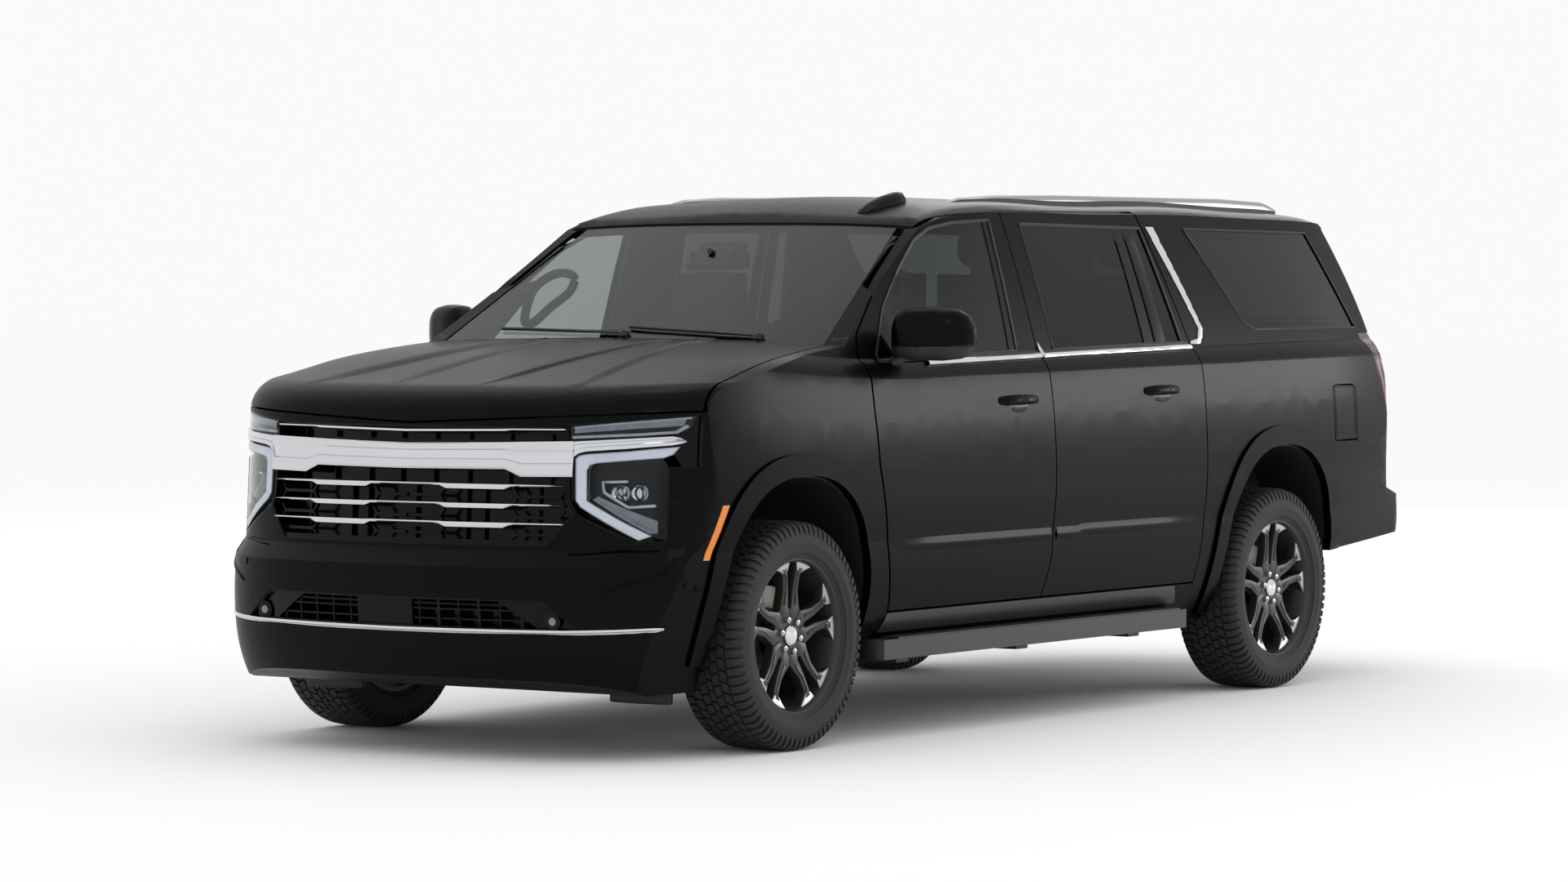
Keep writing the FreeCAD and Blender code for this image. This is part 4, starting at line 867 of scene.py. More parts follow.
@dataclass
class Studio:
    """Floor, sky glow, lamps and the camera at the photographed angle."""

    camera_place: tuple[float, float, float] = (17.2002, 11.2318, 1.6365)
    yaw: float = 3.7336
    pitch: float = -0.0311
    lens_mm: float = 123.73
    sensor_mm: float = 36.0
    view_depth: float = 400.0
    floor_size: float = 160.0
    floor_tone: str = "fdfdfd"
    floor_roughness: float = 0.85
    sky_light: float = 0.97
    sky_tone: str = "fafafa"
    lamp_aim: tuple[float, float, float] = (0.0, 0.0, 0.8)
    lamp_table: tuple[tuple[str, tuple[float, float, float], Point, float], ...] = (
        ("overhead", (0.0, 0.5, 6.5), (3.0, 3.0), 30.0),
        ("rear_left_card", (-13.0, 9.0, 2.9), (8.0, 2.1), 380.0),
        ("rear_right_card", (-14.0, -6.0, 7.0), (5.0, 5.0), 150.0),
        ("front_left_card", (9.0, 10.0, 6.0), (2.5, 2.5), 40.0))

    def build(self) -> None:
        """Make everything that is not the vehicle."""
        self.world()
        self.floor()
        self.lamps()
        self.camera()
        bpy.context.scene.view_settings.view_transform = "Standard"

    def world(self) -> None:
        """Even pale sky that lights the vehicle, seen as a white background."""
        world = bpy.data.worlds.new("studio_sky")
        bpy.context.scene.world = world
        world.use_nodes = True
        tree = world.node_tree
        tree.nodes.clear()
        light = add_node(tree, "ShaderNodeBackground",
                         {"Strength": self.sky_light, "Color": linear("ffffff")}, {})
        seen = add_node(tree, "ShaderNodeBackground", {"Strength": 1.0, "Color": linear(self.sky_tone)}, {})
        path = add_node(tree, "ShaderNodeLightPath", {}, {})
        kinds = path.outputs["Is Camera Ray"]
        for other in ("Is Glossy Ray", "Is Transmission Ray"):
            either = add_node(tree, "ShaderNodeMath", {"operation": "MAXIMUM"}, {})
            tree.links.new(kinds, either.inputs[0])
            tree.links.new(path.outputs[other], either.inputs[1])
            kinds = either.outputs[0]
        mix = add_node(tree, "ShaderNodeMixShader", {}, {})
        tree.links.new(kinds, mix.inputs[0])
        for socket, background in enumerate((light, seen), 1):
            tree.links.new(background.outputs[0], mix.inputs[socket])
        add_node(tree, "ShaderNodeOutputWorld", {}, {"Surface": mix.outputs[0]})

    def floor(self) -> None:
        """Plain pale floor that keeps the vehicle's shadow."""
        made = bmesh.new()
        bmesh.ops.create_grid(made, x_segments=1, y_segments=1, size=self.floor_size / 2)
        mesh = bpy.data.meshes.new("floor")
        made.to_mesh(mesh)
        made.free()
        item = bpy.data.objects.new("floor", mesh)
        bpy.context.scene.collection.objects.link(item)
        finish = bpy.data.materials.new("pale_floor")
        finish.use_nodes = True
        shader = finish.node_tree.nodes["Principled BSDF"]
        shader.inputs["Base Color"].default_value = linear(self.floor_tone)
        shader.inputs["Roughness"].default_value = self.floor_roughness
        mesh.materials.append(finish)

    def lamps(self) -> None:
        """Large soft boxes above and beside the vehicle."""
        for name, place, size, power in self.lamp_table:
            data = bpy.data.lights.new(name, "AREA")
            data.energy = power
            data.shape = "RECTANGLE"
            data.size, data.size_y = size
            lamp = bpy.data.objects.new(name, data)
            lamp.location = place
            lamp.visible_camera = False
            aim = Vector(self.lamp_aim) - Vector(place)
            lamp.rotation_euler = aim.to_track_quat("-Z", "Y").to_euler()
            bpy.context.scene.collection.objects.link(lamp)

    def camera(self) -> None:
        """Camera matched to the photograph's view."""
        data = bpy.data.cameras.new("camera")
        data.lens = self.lens_mm
        data.sensor_width = self.sensor_mm
        data.clip_end = self.view_depth
        view = bpy.data.objects.new("camera", data)
        view.location = self.camera_place
        aim = Vector((math.cos(self.yaw) * math.cos(self.pitch), math.sin(self.yaw) * math.cos(self.pitch),
                      math.sin(self.pitch)))
        view.rotation_euler = aim.to_track_quat("-Z", "Y").to_euler()
        bpy.context.scene.collection.objects.link(view)
        bpy.context.scene.camera = view


@dataclass
class Shell:
    """Body panels, glass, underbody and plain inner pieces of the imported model."""

    finishes: tuple[Finish, ...] = (PAINT, CHROME, PLASTIC, LENS, RED_LENS, DARK_GLASS, CHASSIS, IRON,
                                    WHEEL_DARK, RUBBER, SATIN, LEATHER, CABIN)
    clear_nodes: tuple[str, ...] = ("windshield", "front_left_glass", "front_right_glass")

    def dress(self) -> None:
        """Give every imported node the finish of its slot."""
        by_slot = {finish.slot: finish for finish in self.finishes}
        special = {"running_boards": STEP, **{node: CLEAR_GLASS for node in self.clear_nodes}}
        for part in frame["record"]["subparts"]:
            smooth_node(part["node"], special.get(part["node"], by_slot[part["material_slot"]]))


@dataclass
class Wheels:
    """Four alloy wheels with five pairs of spokes, and all-terrain tyres."""

    axle_places: dict[str, float] = field(default_factory=lambda: {"front": 1878.0, "rear": -1529.0})
    centre_y: float = 870.0
    axle_height: float = 395.0
    rim_radius: float = 272.0
    rim_half: float = 114.0
    face_setback: float = 24.0
    pair_count: int = 5
    nut_count: int = 6
    nut_circle: float = 57.04
    nut_turn: float = 18.0
    lug_count: int = 76
    block_count: int = 58
    round_steps: int = 120
    tyre_steps: int = 144
    dish_rise: float = 16.0
    dish_level: float = 0.6
    # Half widths as shares of the pitch: a lug on the sidewall and on the tread, and a block.
    lug_halves: Point = (0.27, 0.36)
    block_half: float = 0.39
    lug_slant: float = 0.05
    block_root: float = 384.0
    block_top: float = 394.6
    spoke_depth: float = 34.0
    tip_lift: float = 2.2
    hub_radius: float = 40.0
    spoke: tuple[Point, ...] = ((264, 3.6), (264, 28.5), (238, 20.5), (212, 14.0), (160, 16.5), (118, 28.0),
                                (104, 36.0), (56, 36.0), (56, 0.0), (92, 0.0), (97, 5.2), (160, 4.6),
                                (232, 6.6))
    spoke_rib: tuple[Point, ...] = ((236, 9.0), (236, 16.0), (208, 10.6), (160, 11.6), (112, 21.0),
                                    (108, 15.0), (160, 9.0), (208, 8.6))
    tip: tuple[Point, ...] = ((264.5, 4.2), (264.5, 28.0), (238.5, 20.2), (218, 12.0), (226, 7.4))
    rim_line: tuple[Point, ...] = ((-8, 262), (0, 262.4), (1, 265), (-1, 269), (-8, 270))
    hub: tuple[Point, ...] = ((-60, 0.01), (-60, 70), (-6, 70), (0, 62), (0, 38), (-6, 35), (-6, 0.01))
    cap: tuple[Point, ...] = ((-10, 0.01), (-10, 36), (6, 35), (11, 30), (13, 0.01))
    brake_disc: tuple[Point, ...] = ((-24, 60), (-24, 168), (-10, 168), (-10, 96), (14, 92), (14, 60))
    tyre: tuple[Point, ...] = ((112, 262), (117, 270), (119, 276), (124, 284), (126, 287), (127.5, 286),
                               (130, 298), (132.5, 312), (134, 316), (133.5, 322), (132.5, 338), (130.5, 352),
                               (125, 366), (118, 376), (106, 382), (60, 384.5), (0, 385))
    lug_crown: tuple[Point, ...] = ((133.2, 349), (132.6, 362), (127.5, 377), (118, 387.5), (104, 392.5),
                                    (82, 394.3))
    lug_root: tuple[Point, ...] = ((131, 350), (129, 358), (123, 368), (114, 378), (102, 383), (84, 384))
    block_rows: tuple[tuple[float, float, float, float], ...] = ((-76, -48, 1.2, 0.0), (-42, -15, -1.0, 0.5),
                                                                 (-9, 9, 0.9, 0.15), (15, 42, -1.0, 0.65),
                                                                 (48, 76, 1.2, 0.3))

    def polar(self, radius: float, turn: float, y: float) -> Vector:
        """Point of the wheel from radius in mm, turn in degrees and y in mm."""
        angle = math.radians(turn)
        return mm(radius * math.sin(angle), y, radius * math.cos(angle))

    def dish(self, radius: float) -> float:
        """How far the wheel's face stands out at a radius."""
        share = min(1.0, radius / self.rim_radius)
        return self.rim_half - self.face_setback + self.dish_rise * (share ** 2 - self.dish_level)

    def plate(self, outline: Sequence[Point], depth: float, bevel: float, lift: float = 0.0) -> Mesh:
        """Part of the wheel's face from (radius, turn) corners.

        Args:
            outline: Corners as radius in mm and turn in degrees.
            depth: Thickness in mm.
            bevel: Chamfer of its outer edges in mm.
            lift: How far it stands proud of the face in mm.

        Returns:
            The new mesh.
        """
        made = bmesh.new()
        face = made.faces.new([made.verts.new(self.polar(radius, turn, self.dish(radius) + lift))
                               for radius, turn in outline])
        grown = bmesh.ops.extrude_face_region(made, geom=[face])["geom"]
        verts = [item for item in grown if isinstance(item, bmesh.types.BMVert)]
        bmesh.ops.translate(made, vec=(0, -depth * MM, 0), verts=verts)
        if bevel > 0:
            sunk = set(verts)
            rims = [edge for edge in made.edges if not sunk.intersection(edge.verts)]
            bmesh.ops.bevel(made, geom=rims, offset=bevel * MM, segments=2, profile=0.5, affect="EDGES",
                            material=-1)
        return made

    def fan(self, outline: Sequence[Point], depth: float, bevel: float, lift: float = 0.0) -> Mesh:
        """Like plates on every spoke, mirrored within each pair.

        Args:
            outline: Corners of one, as radius in mm and turn in degrees from the pair's middle.
            depth: Thickness in mm.
            bevel: Chamfer in mm.
            lift: How far they stand proud of the face in mm.

        Returns:
            The new mesh.
        """
        made = bmesh.new()
        for index in range(self.pair_count):
            middle = 360 / self.pair_count * index
            for sign in (-1, 1):
                corners = [(radius, middle + sign * turn) for radius, turn in outline]
                absorb(made, self.plate(corners, depth, bevel, lift))
        return made

    def spokes(self) -> Mesh:
        """Dark spokes, hub and bead of the wheel.

        Returns:
            The new mesh.
        """
        made = self.fan(self.spoke, self.spoke_depth, 5)
        absorb(made, self.fan(self.spoke_rib, 12, 1.5, 3.0))
        hub_face, edge = self.dish(self.hub_radius), self.rim_half
        absorb(made, ring_solid([(hub_face + shift, radius) for shift, radius in self.hub], 60))
        absorb(made, ring_solid([(edge, 262), (edge - 8, 256), (edge - 24, 250), (edge - 50, 243), (40, 236),
                                 (-40, 228), (24 - edge, 240), (-edge, 250), (-edge, 271), (14 - edge, 266),
                                 (30 - edge, 250), (-40, 234), (40, 242), (edge - 30, 252), (edge - 12, 266),
                                 (edge, 271)], self.round_steps))
        return made

    def tips(self) -> Mesh:
        """Turned bright tips and the rim line.

        Returns:
            The new mesh.
        """
        made = self.fan(self.tip, 6, 0.8, self.tip_lift)
        edge = self.dish(self.spoke[0][0]) + self.tip_lift
        absorb(made, ring_solid([(edge + shift, radius) for shift, radius in self.rim_line],
                                self.round_steps))
        return made

    def nuts(self) -> Mesh:
        """Chrome nuts and the bare centre cap.

        Returns:
            The new mesh.
        """
        made = bmesh.new()
        outward = Vector((0, 1, 0))
        for index in range(self.nut_count):
            turn = 360 / self.nut_count * index + self.nut_turn
            place = self.polar(self.nut_circle, turn, self.dish(self.hub_radius) + 3)
            absorb(made, disc(11.5, 18, place, outward, 6, 2.0))
            absorb(made, disc(8, 26, place, outward, 16, 2.0, 0.7))
        hub_face = self.dish(self.hub_radius)
        absorb(made, ring_solid([(hub_face + shift, radius) for shift, radius in self.cap], 48))
        return made

    def brake(self) -> Mesh:
        """Ground brake disc behind the spokes."""
        return ring_solid(self.brake_disc, 72)

    def carcass(self) -> Mesh:
        """Smooth tyre casing with raised rings on its sidewalls.

        Returns:
            The new mesh.
        """
        half = list(self.tyre)
        return ring_solid(half + [(-y, radius) for y, radius in reversed(half[:-1])], self.tyre_steps)

    def lugs(self) -> Mesh:
        """Ribbed shoulder lugs and tread blocks.

        Returns:
            The new mesh.
        """
        pitch = 360 / self.lug_count
        wall, crown = self.lug_halves
        one = bmesh.new()
        for sign in (-1, 1):
            rings = []
            for index, (tip, base) in enumerate(zip(self.lug_crown, self.lug_root)):
                half = pitch * (crown if index > 2 else wall)
                slant = sign * pitch * self.lug_slant * index
                rings.append([self.polar(spot[1], slant + shift, sign * spot[0])
                              for spot, shift in ((tip, -half), (tip, half), (base, half), (base, -half))])
            absorb(one, loft(rings))
        made = around(one, self.lug_count)
        pitch = 360 / self.block_count
        one = bmesh.new()
        for low, high, slant, shift in self.block_rows:
            half = pitch * self.block_half
            base = pitch * shift
            top = [(base - half - slant * 0.5, low), (base + half - slant * 0.5, low),
                   (base + half + slant * 0.2, (low + high) / 2 + 2), (base + half + slant * 0.7, high),
                   (base - half + slant * 0.7, high), (base - half + slant * 0.2, (low + high) / 2 + 2)]
            absorb(one, loft([[self.polar(radius, turn, y) for turn, y in top]
                              for radius in (self.block_root, self.block_top)]))
        absorb(made, around(one, self.block_count))
        return made

    def build(self) -> None:
        """Make one wheel of each side and place all four."""
        parts = (("spokes", self.spokes(), WHEEL_DARK), ("tips", self.tips(), WHEEL_BRIGHT),
                 ("nuts", self.nuts(), CHROME), ("brake_disc", self.brake(), STEEL),
                 ("casing", self.carcass(), RUBBER), ("tread", self.lugs(), RUBBER))
        for label, source, finish in parts:
            for end, axle_x in self.axle_places.items():
                for side in Side:
                    copy = source.copy() if side is Side.LEFT else mirrored(source)
                    centre = (axle_x * MM, side.value * self.centre_y * MM, self.axle_height * MM)
                    bmesh.ops.translate(copy, vec=centre, verts=copy.verts)
                    stem = "%s_%s" % (end, side.word)
                    stands_for = {"spokes": ["%s_wheel" % stem], "casing": ["%s_tyre" % stem]}.get(label, [])
                    add_piece("%s_%s" % (stem, label), copy, finish, "%s_wheel" % stem, replaces=stands_for)
            source.free()


@dataclass
class Grille:
    """Upper grille with its bright bars, lower intake and bumper trim."""

    nose: Nose = field(default_factory=Nose)
    opening: tuple[Point, ...] = ((0, 1122), (614, 1122), (614, 1035), (620, 880), (642, 832), (560, 731),
                                  (0, 727))
    intake: tuple[Point, ...] = ((0, 546), (578, 546), (708, 450), (0, 450))
    main_bar: tuple[tuple[float, float, float], ...] = ((0, 1066, 977), (399, 1073, 980), (458, 1075, 955),
                                                        (640, 1079, 957), (642, 1079, 1022),
                                                        (658, 1080, 1035), (681, 1081, 1041),
                                                        (799, 1088, 1050), (905, 1095, 1061),
                                                        (924, 1090, 1067), (934, 1080, 1074))
    slat_levels: tuple[tuple[float, float, float], ...] = ((932, 923, 912), (867, 858, 848), (804, 794, 783))
    sensor_places: tuple[Point, ...] = ((325, 635), (746, 640), (979, 586))
    flap_centre: float = 659.0
    flap_half: float = 125.0

    def build(self) -> None:
        """Make every piece of the front's middle."""
        place = self.nose.place
        backs = patch(widths(self.opening), place, 90, 84, -74)
        absorb(backs, patch(widths(self.intake), place, 90, 74, -62))
        for outline in (self.opening, self.intake):
            absorb(backs, ribbon(widths(outline), place, 3.5, -2, 78, 60, closed=True))
        add_piece("grille_housing", backs, PIANO, replaces=["grille"])
        add_piece("grille_main_bar", bar(spread(self.main_bar), (
            (1.0, 8), (0.985, -4), (0.93, -9), (0.74, -12), (0.70, -8), (0.40, -3), (0.36, -8), (0.08, -11),
            (0.015, -6), (0.0, 6), (0.0, 26), (1.0, 26)), place), CHROME)
        slats = bar(spread(((0, 1112, 1101), (395, 1118, 1107), (418, 1118, 1111), (604, 1119, 1112),
                            (612, 1117, 1114))), ((1, 0), (0.8, -7), (0.2, -7), (0, 0), (0, 12), (1, 12)),
                    place)
        for top, thin, thick in self.slat_levels:
            rows = ((0, top, thin), (146, top, thin), (172, top, thick), (398, top, thick),
                    (424, top - 1, thin), (606, top - 2, thin), (616, top - 4, thin + 2))
            absorb(slats, bar(spread(rows), ((1, 2), (0.9, -7), (0.45, -10), (0.1, -7), (0, 2), (0, 14),
                                             (1, 14)), place))
        add_piece("grille_slats", slats, CHROME)
        self.cells()
        self.lower()

    def behind(self, shift: float) -> Place:
        """Surface that lies a distance in mm behind the nose."""
        return lambda y, z, depth: self.nose.place(y, z, depth + shift)

    def cells(self) -> None:
        """Black shelves, brackets and ribs between the slats."""
        place = self.nose.place
        made = bmesh.new()
        box = ((1, 16), (0, 16), (0, 76), (1, 76))
        for top, thin, _ in self.slat_levels:
            absorb(made, bar(spread(((0, thin + 7, thin), (600, thin + 6, thin))), box, place, 90))
        absorb(made, bar(spread(((0, 744, 728), (575, 744, 732))), ((1, 2), (0, 2), (0, 76), (1, 76)), place,
                         90))
        rows = ((858, 923), (794, 848), (744, 783))
        for low, high in rows:
            middle = (low + high) / 2
            for y_low, y_high in ((-132, -6), (6, 132), (440, 590), (-590, -440)):
                shelf = ((y_low, middle + 5, middle - 5), (y_high, middle + 5, middle - 5))
                absorb(made, bar(shelf, ((1, 16), (0, 16), (0, 30), (1, 30)), place, 90))
                for end, sign in ((y_low, -1), (y_high, 1)):
                    if abs(end) < 10:
                        continue
                    for level in (low + 3, high - 3):
                        absorb(made, ribbon([(end, middle), (end + sign * 20, level)], self.behind(18), 4, 2,
                                            12, 40))
            for y in (-500, -290, -215, 0, 215, 290, 500):
                absorb(made, ribbon([(y, low), (y, high)], self.behind(60), 2.5, 2, 16, 60))
        for y in (-540, -380, -215, -72, 72, 215, 380, 540):
            absorb(made, ribbon([(y, 935), (y, 958 if abs(y) > 440 else 976)], self.behind(60), 2.5, 2, 16,
                                60))
            absorb(made, ribbon([(y, 1080), (y, 1102)], self.behind(60), 2.5, 2, 16, 60))
        add_piece("grille_cells", made, PIANO)

    def lower(self) -> None:
        """Lower intake's lattice, fog lamps, bright strip and sensors."""
        place = self.nose.place
        made = bmesh.new()
        for level in (475, 508, 530):
            absorb(made, bar(spread(((0, level + 3, level - 3), (590, level + 3, level - 3))),
                             ((1, 20), (0, 20), (0, 66), (1, 66)), place, 90))
        for y in (-520, -440, -360, -280, -200, 100, 180, 260, 340, 420, 500):
            absorb(made, ribbon([(y, 452), (y, 545)], self.behind(18), 5 if y % 160 == 20 else 3, 2, 48, 60))
        for outline in ([(-165, 545), (72, 545), (72, 451), (-165, 451)],
                        [(410, 546), (576, 546), (706, 451), (560, 451)],
                        [(-410, 546), (-576, 546), (-706, 451), (-560, 451)]):
            absorb(made, patch(outline, place, 70, 40, -10, 3))
        add_piece("intake_lattice", made, PIANO)
        for side in Side:
            centre = place(side.value * 617, 478, 6)
            bezel = disc(30, 14, centre, Vector((1, 0, 0)), 40, 4)
            add_piece("fog_bezel_%s" % side.word, bezel, PIANO)
            bowl = disc(15, 12, centre + Vector((0.005, 0, 0)), Vector((1, 0, 0)), 32, 5)
            add_piece("fog_lamp_%s" % side.word, bowl, REFLECTOR)
        rows = spread(((0, 449, 429), (649, 452, 433), (800, 456, 438), (900, 460, 443), (916, 458, 450)))
        strip = bar(rows, ((1, 3), (0.92, -7), (0.55, -12), (0.45, -9), (0.08, -6), (0, 3), (0, 10), (1, 10)),
                    place)
        add_piece("bumper_strip", strip, CHROME)
        dots = bmesh.new()
        for y, z in self.sensor_places:
            for side in Side:
                spot = place(side.value * y, z, 0)
                aim = (place(side.value * y, z, -10) - spot).normalized()
                absorb(dots, disc(11.5, 5, spot, aim, 28, 1.2))
        add_piece("park_sensors", dots, PAINT, slot="black_trim")
        lines = bmesh.new()
        for path, half, proud in (([(751, 571), (860, 612), (924, 640), (938, 700)], 5, 7),
                                  ([(640, 700), (793, 716), (889, 711)], 4, 6)):
            absorb(lines, ribbon(path, place, half, proud, 3, 20, 0.15))
        add_piece("bumper_creases", both(lines), PAINT)
        groove = bmesh.new()
        for y in (-240, -140, -40, 60, 160, 260):
            absorb(groove, patch([(y, 372), (y + 82, 372), (y + 66, 350), (y + 8, 350)], place, 60, 6, 1.2,
                                 1.5))
        add_piece("chin_vents", groove, PLASTIC)
        flap = bmesh.new()
        for side in Side:
            middle = side.value * self.flap_centre
            absorb(flap, cushion_block(mm(2332, middle - self.flap_half, 180),
                                       mm(2358, middle + self.flap_half, 240), 8, 2, 2))
        add_piece("air_deflectors", flap, PLASTIC)


@dataclass
class Headlamps:
    """Upper running lamps, the C-shaped light guides and the main lamp boxes."""

    nose: Nose = field(default_factory=Nose)
    outline: tuple[Point, ...] = ((620, 1131), (963, 1164), (963, 990), (907, 990), (905, 741), (836, 739),
                                  (656, 832), (630, 880), (622, 1030))
    guide: tuple[Point, ...] = ((647, 1019), (657, 1029), (681, 1034), (808, 1044), (923, 1058), (910, 1033),
                                (889, 1022), (714, 1005), (693, 998), (684, 980), (687, 880), (868, 762),
                                (838, 748), (668, 858), (652, 880))
    upper: tuple[Point, ...] = ((628, 1127), (952, 1160), (944, 1126), (919, 1101), (836, 1094), (628, 1084))
    window: tuple[Point, ...] = ((690, 1001), (714, 1004), (889, 1020), (905, 985), (902, 743), (870, 762),
                                 (690, 880))

    def build(self) -> None:
        """Make both lamps."""
        place = self.nose.place
        back = patch(self.outline, place, 60, 100, -92)
        absorb(back, ribbon(list(self.outline), place, 3, 0, 96, 50, closed=True))
        absorb(back, patch([(622, 1030), (620, 1130), (962, 1163), (962, 992), (930, 992), (915, 1030),
                            (925, 1062), (681, 1036), (655, 1030), (646, 1015), (646, 890), (640, 880),
                            (628, 884)], place, 60, 22, -9))
        add_piece("lamp_housings", both(back), PIANO, replaces=["headlamps"])
        add_piece("light_guides", both(patch(self.guide, place, 30, 40, 5, 5)), LIGHT_GUIDE)
        rims = ribbon(list(self.guide), place, 2.0, 2.5, 20, 30, closed=True)
        bracket = ribbon([(806, 944), (733, 942), (737, 909), (809, 858), (880, 862)], place, 4.5, -24, 40,
                         12)
        add_piece("lamp_brackets", both(bracket), CHROME)
        absorb(rims, patch([(700, 884), (716, 896), (888, 812), (888, 772), (870, 770)], place, 30, 60, -34,
                           2))
        absorb(rims, patch([(640, 1120), (935, 1150), (930, 1128), (640, 1104)], place, 40, 9, -2, 1))
        add_piece("lamp_reflectors", both(rims), REFLECTOR)
        inner = bmesh.new()
        for y, z, size in ((786, 905, 26), (845, 905, 25)):
            spot = place(y, z, 62)
            aim = Vector((1, 0.05, 0)).normalized()
            absorb(inner, disc(size, 50, spot, aim, 36, 6, 0.92))
        for index in range(13):
            spot = place(724 + index * 12.4, 876 - index * 7.8, 31)
            absorb(inner, disc(4.6, 8, spot, Vector((1, 0.3, 0)).normalized(), 12, 1))
        add_piece("lamp_lenses", both(inner), LENS)
        bowls = bmesh.new()
        for y, z, size in ((786, 905, 30), (845, 905, 29)):
            absorb(bowls, disc(size, 16, place(y, z, 84), Vector((1, 0.05, 0)).normalized(), 36, 5))
        add_piece("lamp_bowls", both(bowls), CHROME)
        glow = ribbon([(634, 1090), (836, 1100), (915, 1107), (938, 1128)], place, 4.5, 1, 8, 25)
        absorb(glow, ribbon([(640, 1122), (900, 1149), (944, 1154)], place, 3, 1, 8, 25))
        add_piece("upper_light_bars", both(glow), LIGHT_GUIDE)
        cover = patch(self.upper, place, 40, -1, 5, 2)
        absorb(cover, patch(self.window, place, 40, 4, 0, 2))
        add_piece("lamp_covers", both(cover), LENS)
        vents = patch([(908, 984), (922, 984), (928, 941), (942, 700), (948, 656), (924, 634), (906, 740)],
                      place, 40, 8, 1.0, 2)
        for level in (960, 915, 870, 825, 780, 735, 690):
            absorb(vents, ribbon([(911, level), (934, level + 2)], place, 3.0, 2.5, 4, 15))
        add_piece("lamp_side_vents", both(vents), PIANO)
        skin = Skin(["front_fenders", "front_bumper", "arch_lips"])
        marker = patch([(2336, 858), (2302, 858), (2388, 676), (2420, 676)], skin.side, 30, 4, 5, 3)
        add_piece("side_markers", both(marker), AMBER)


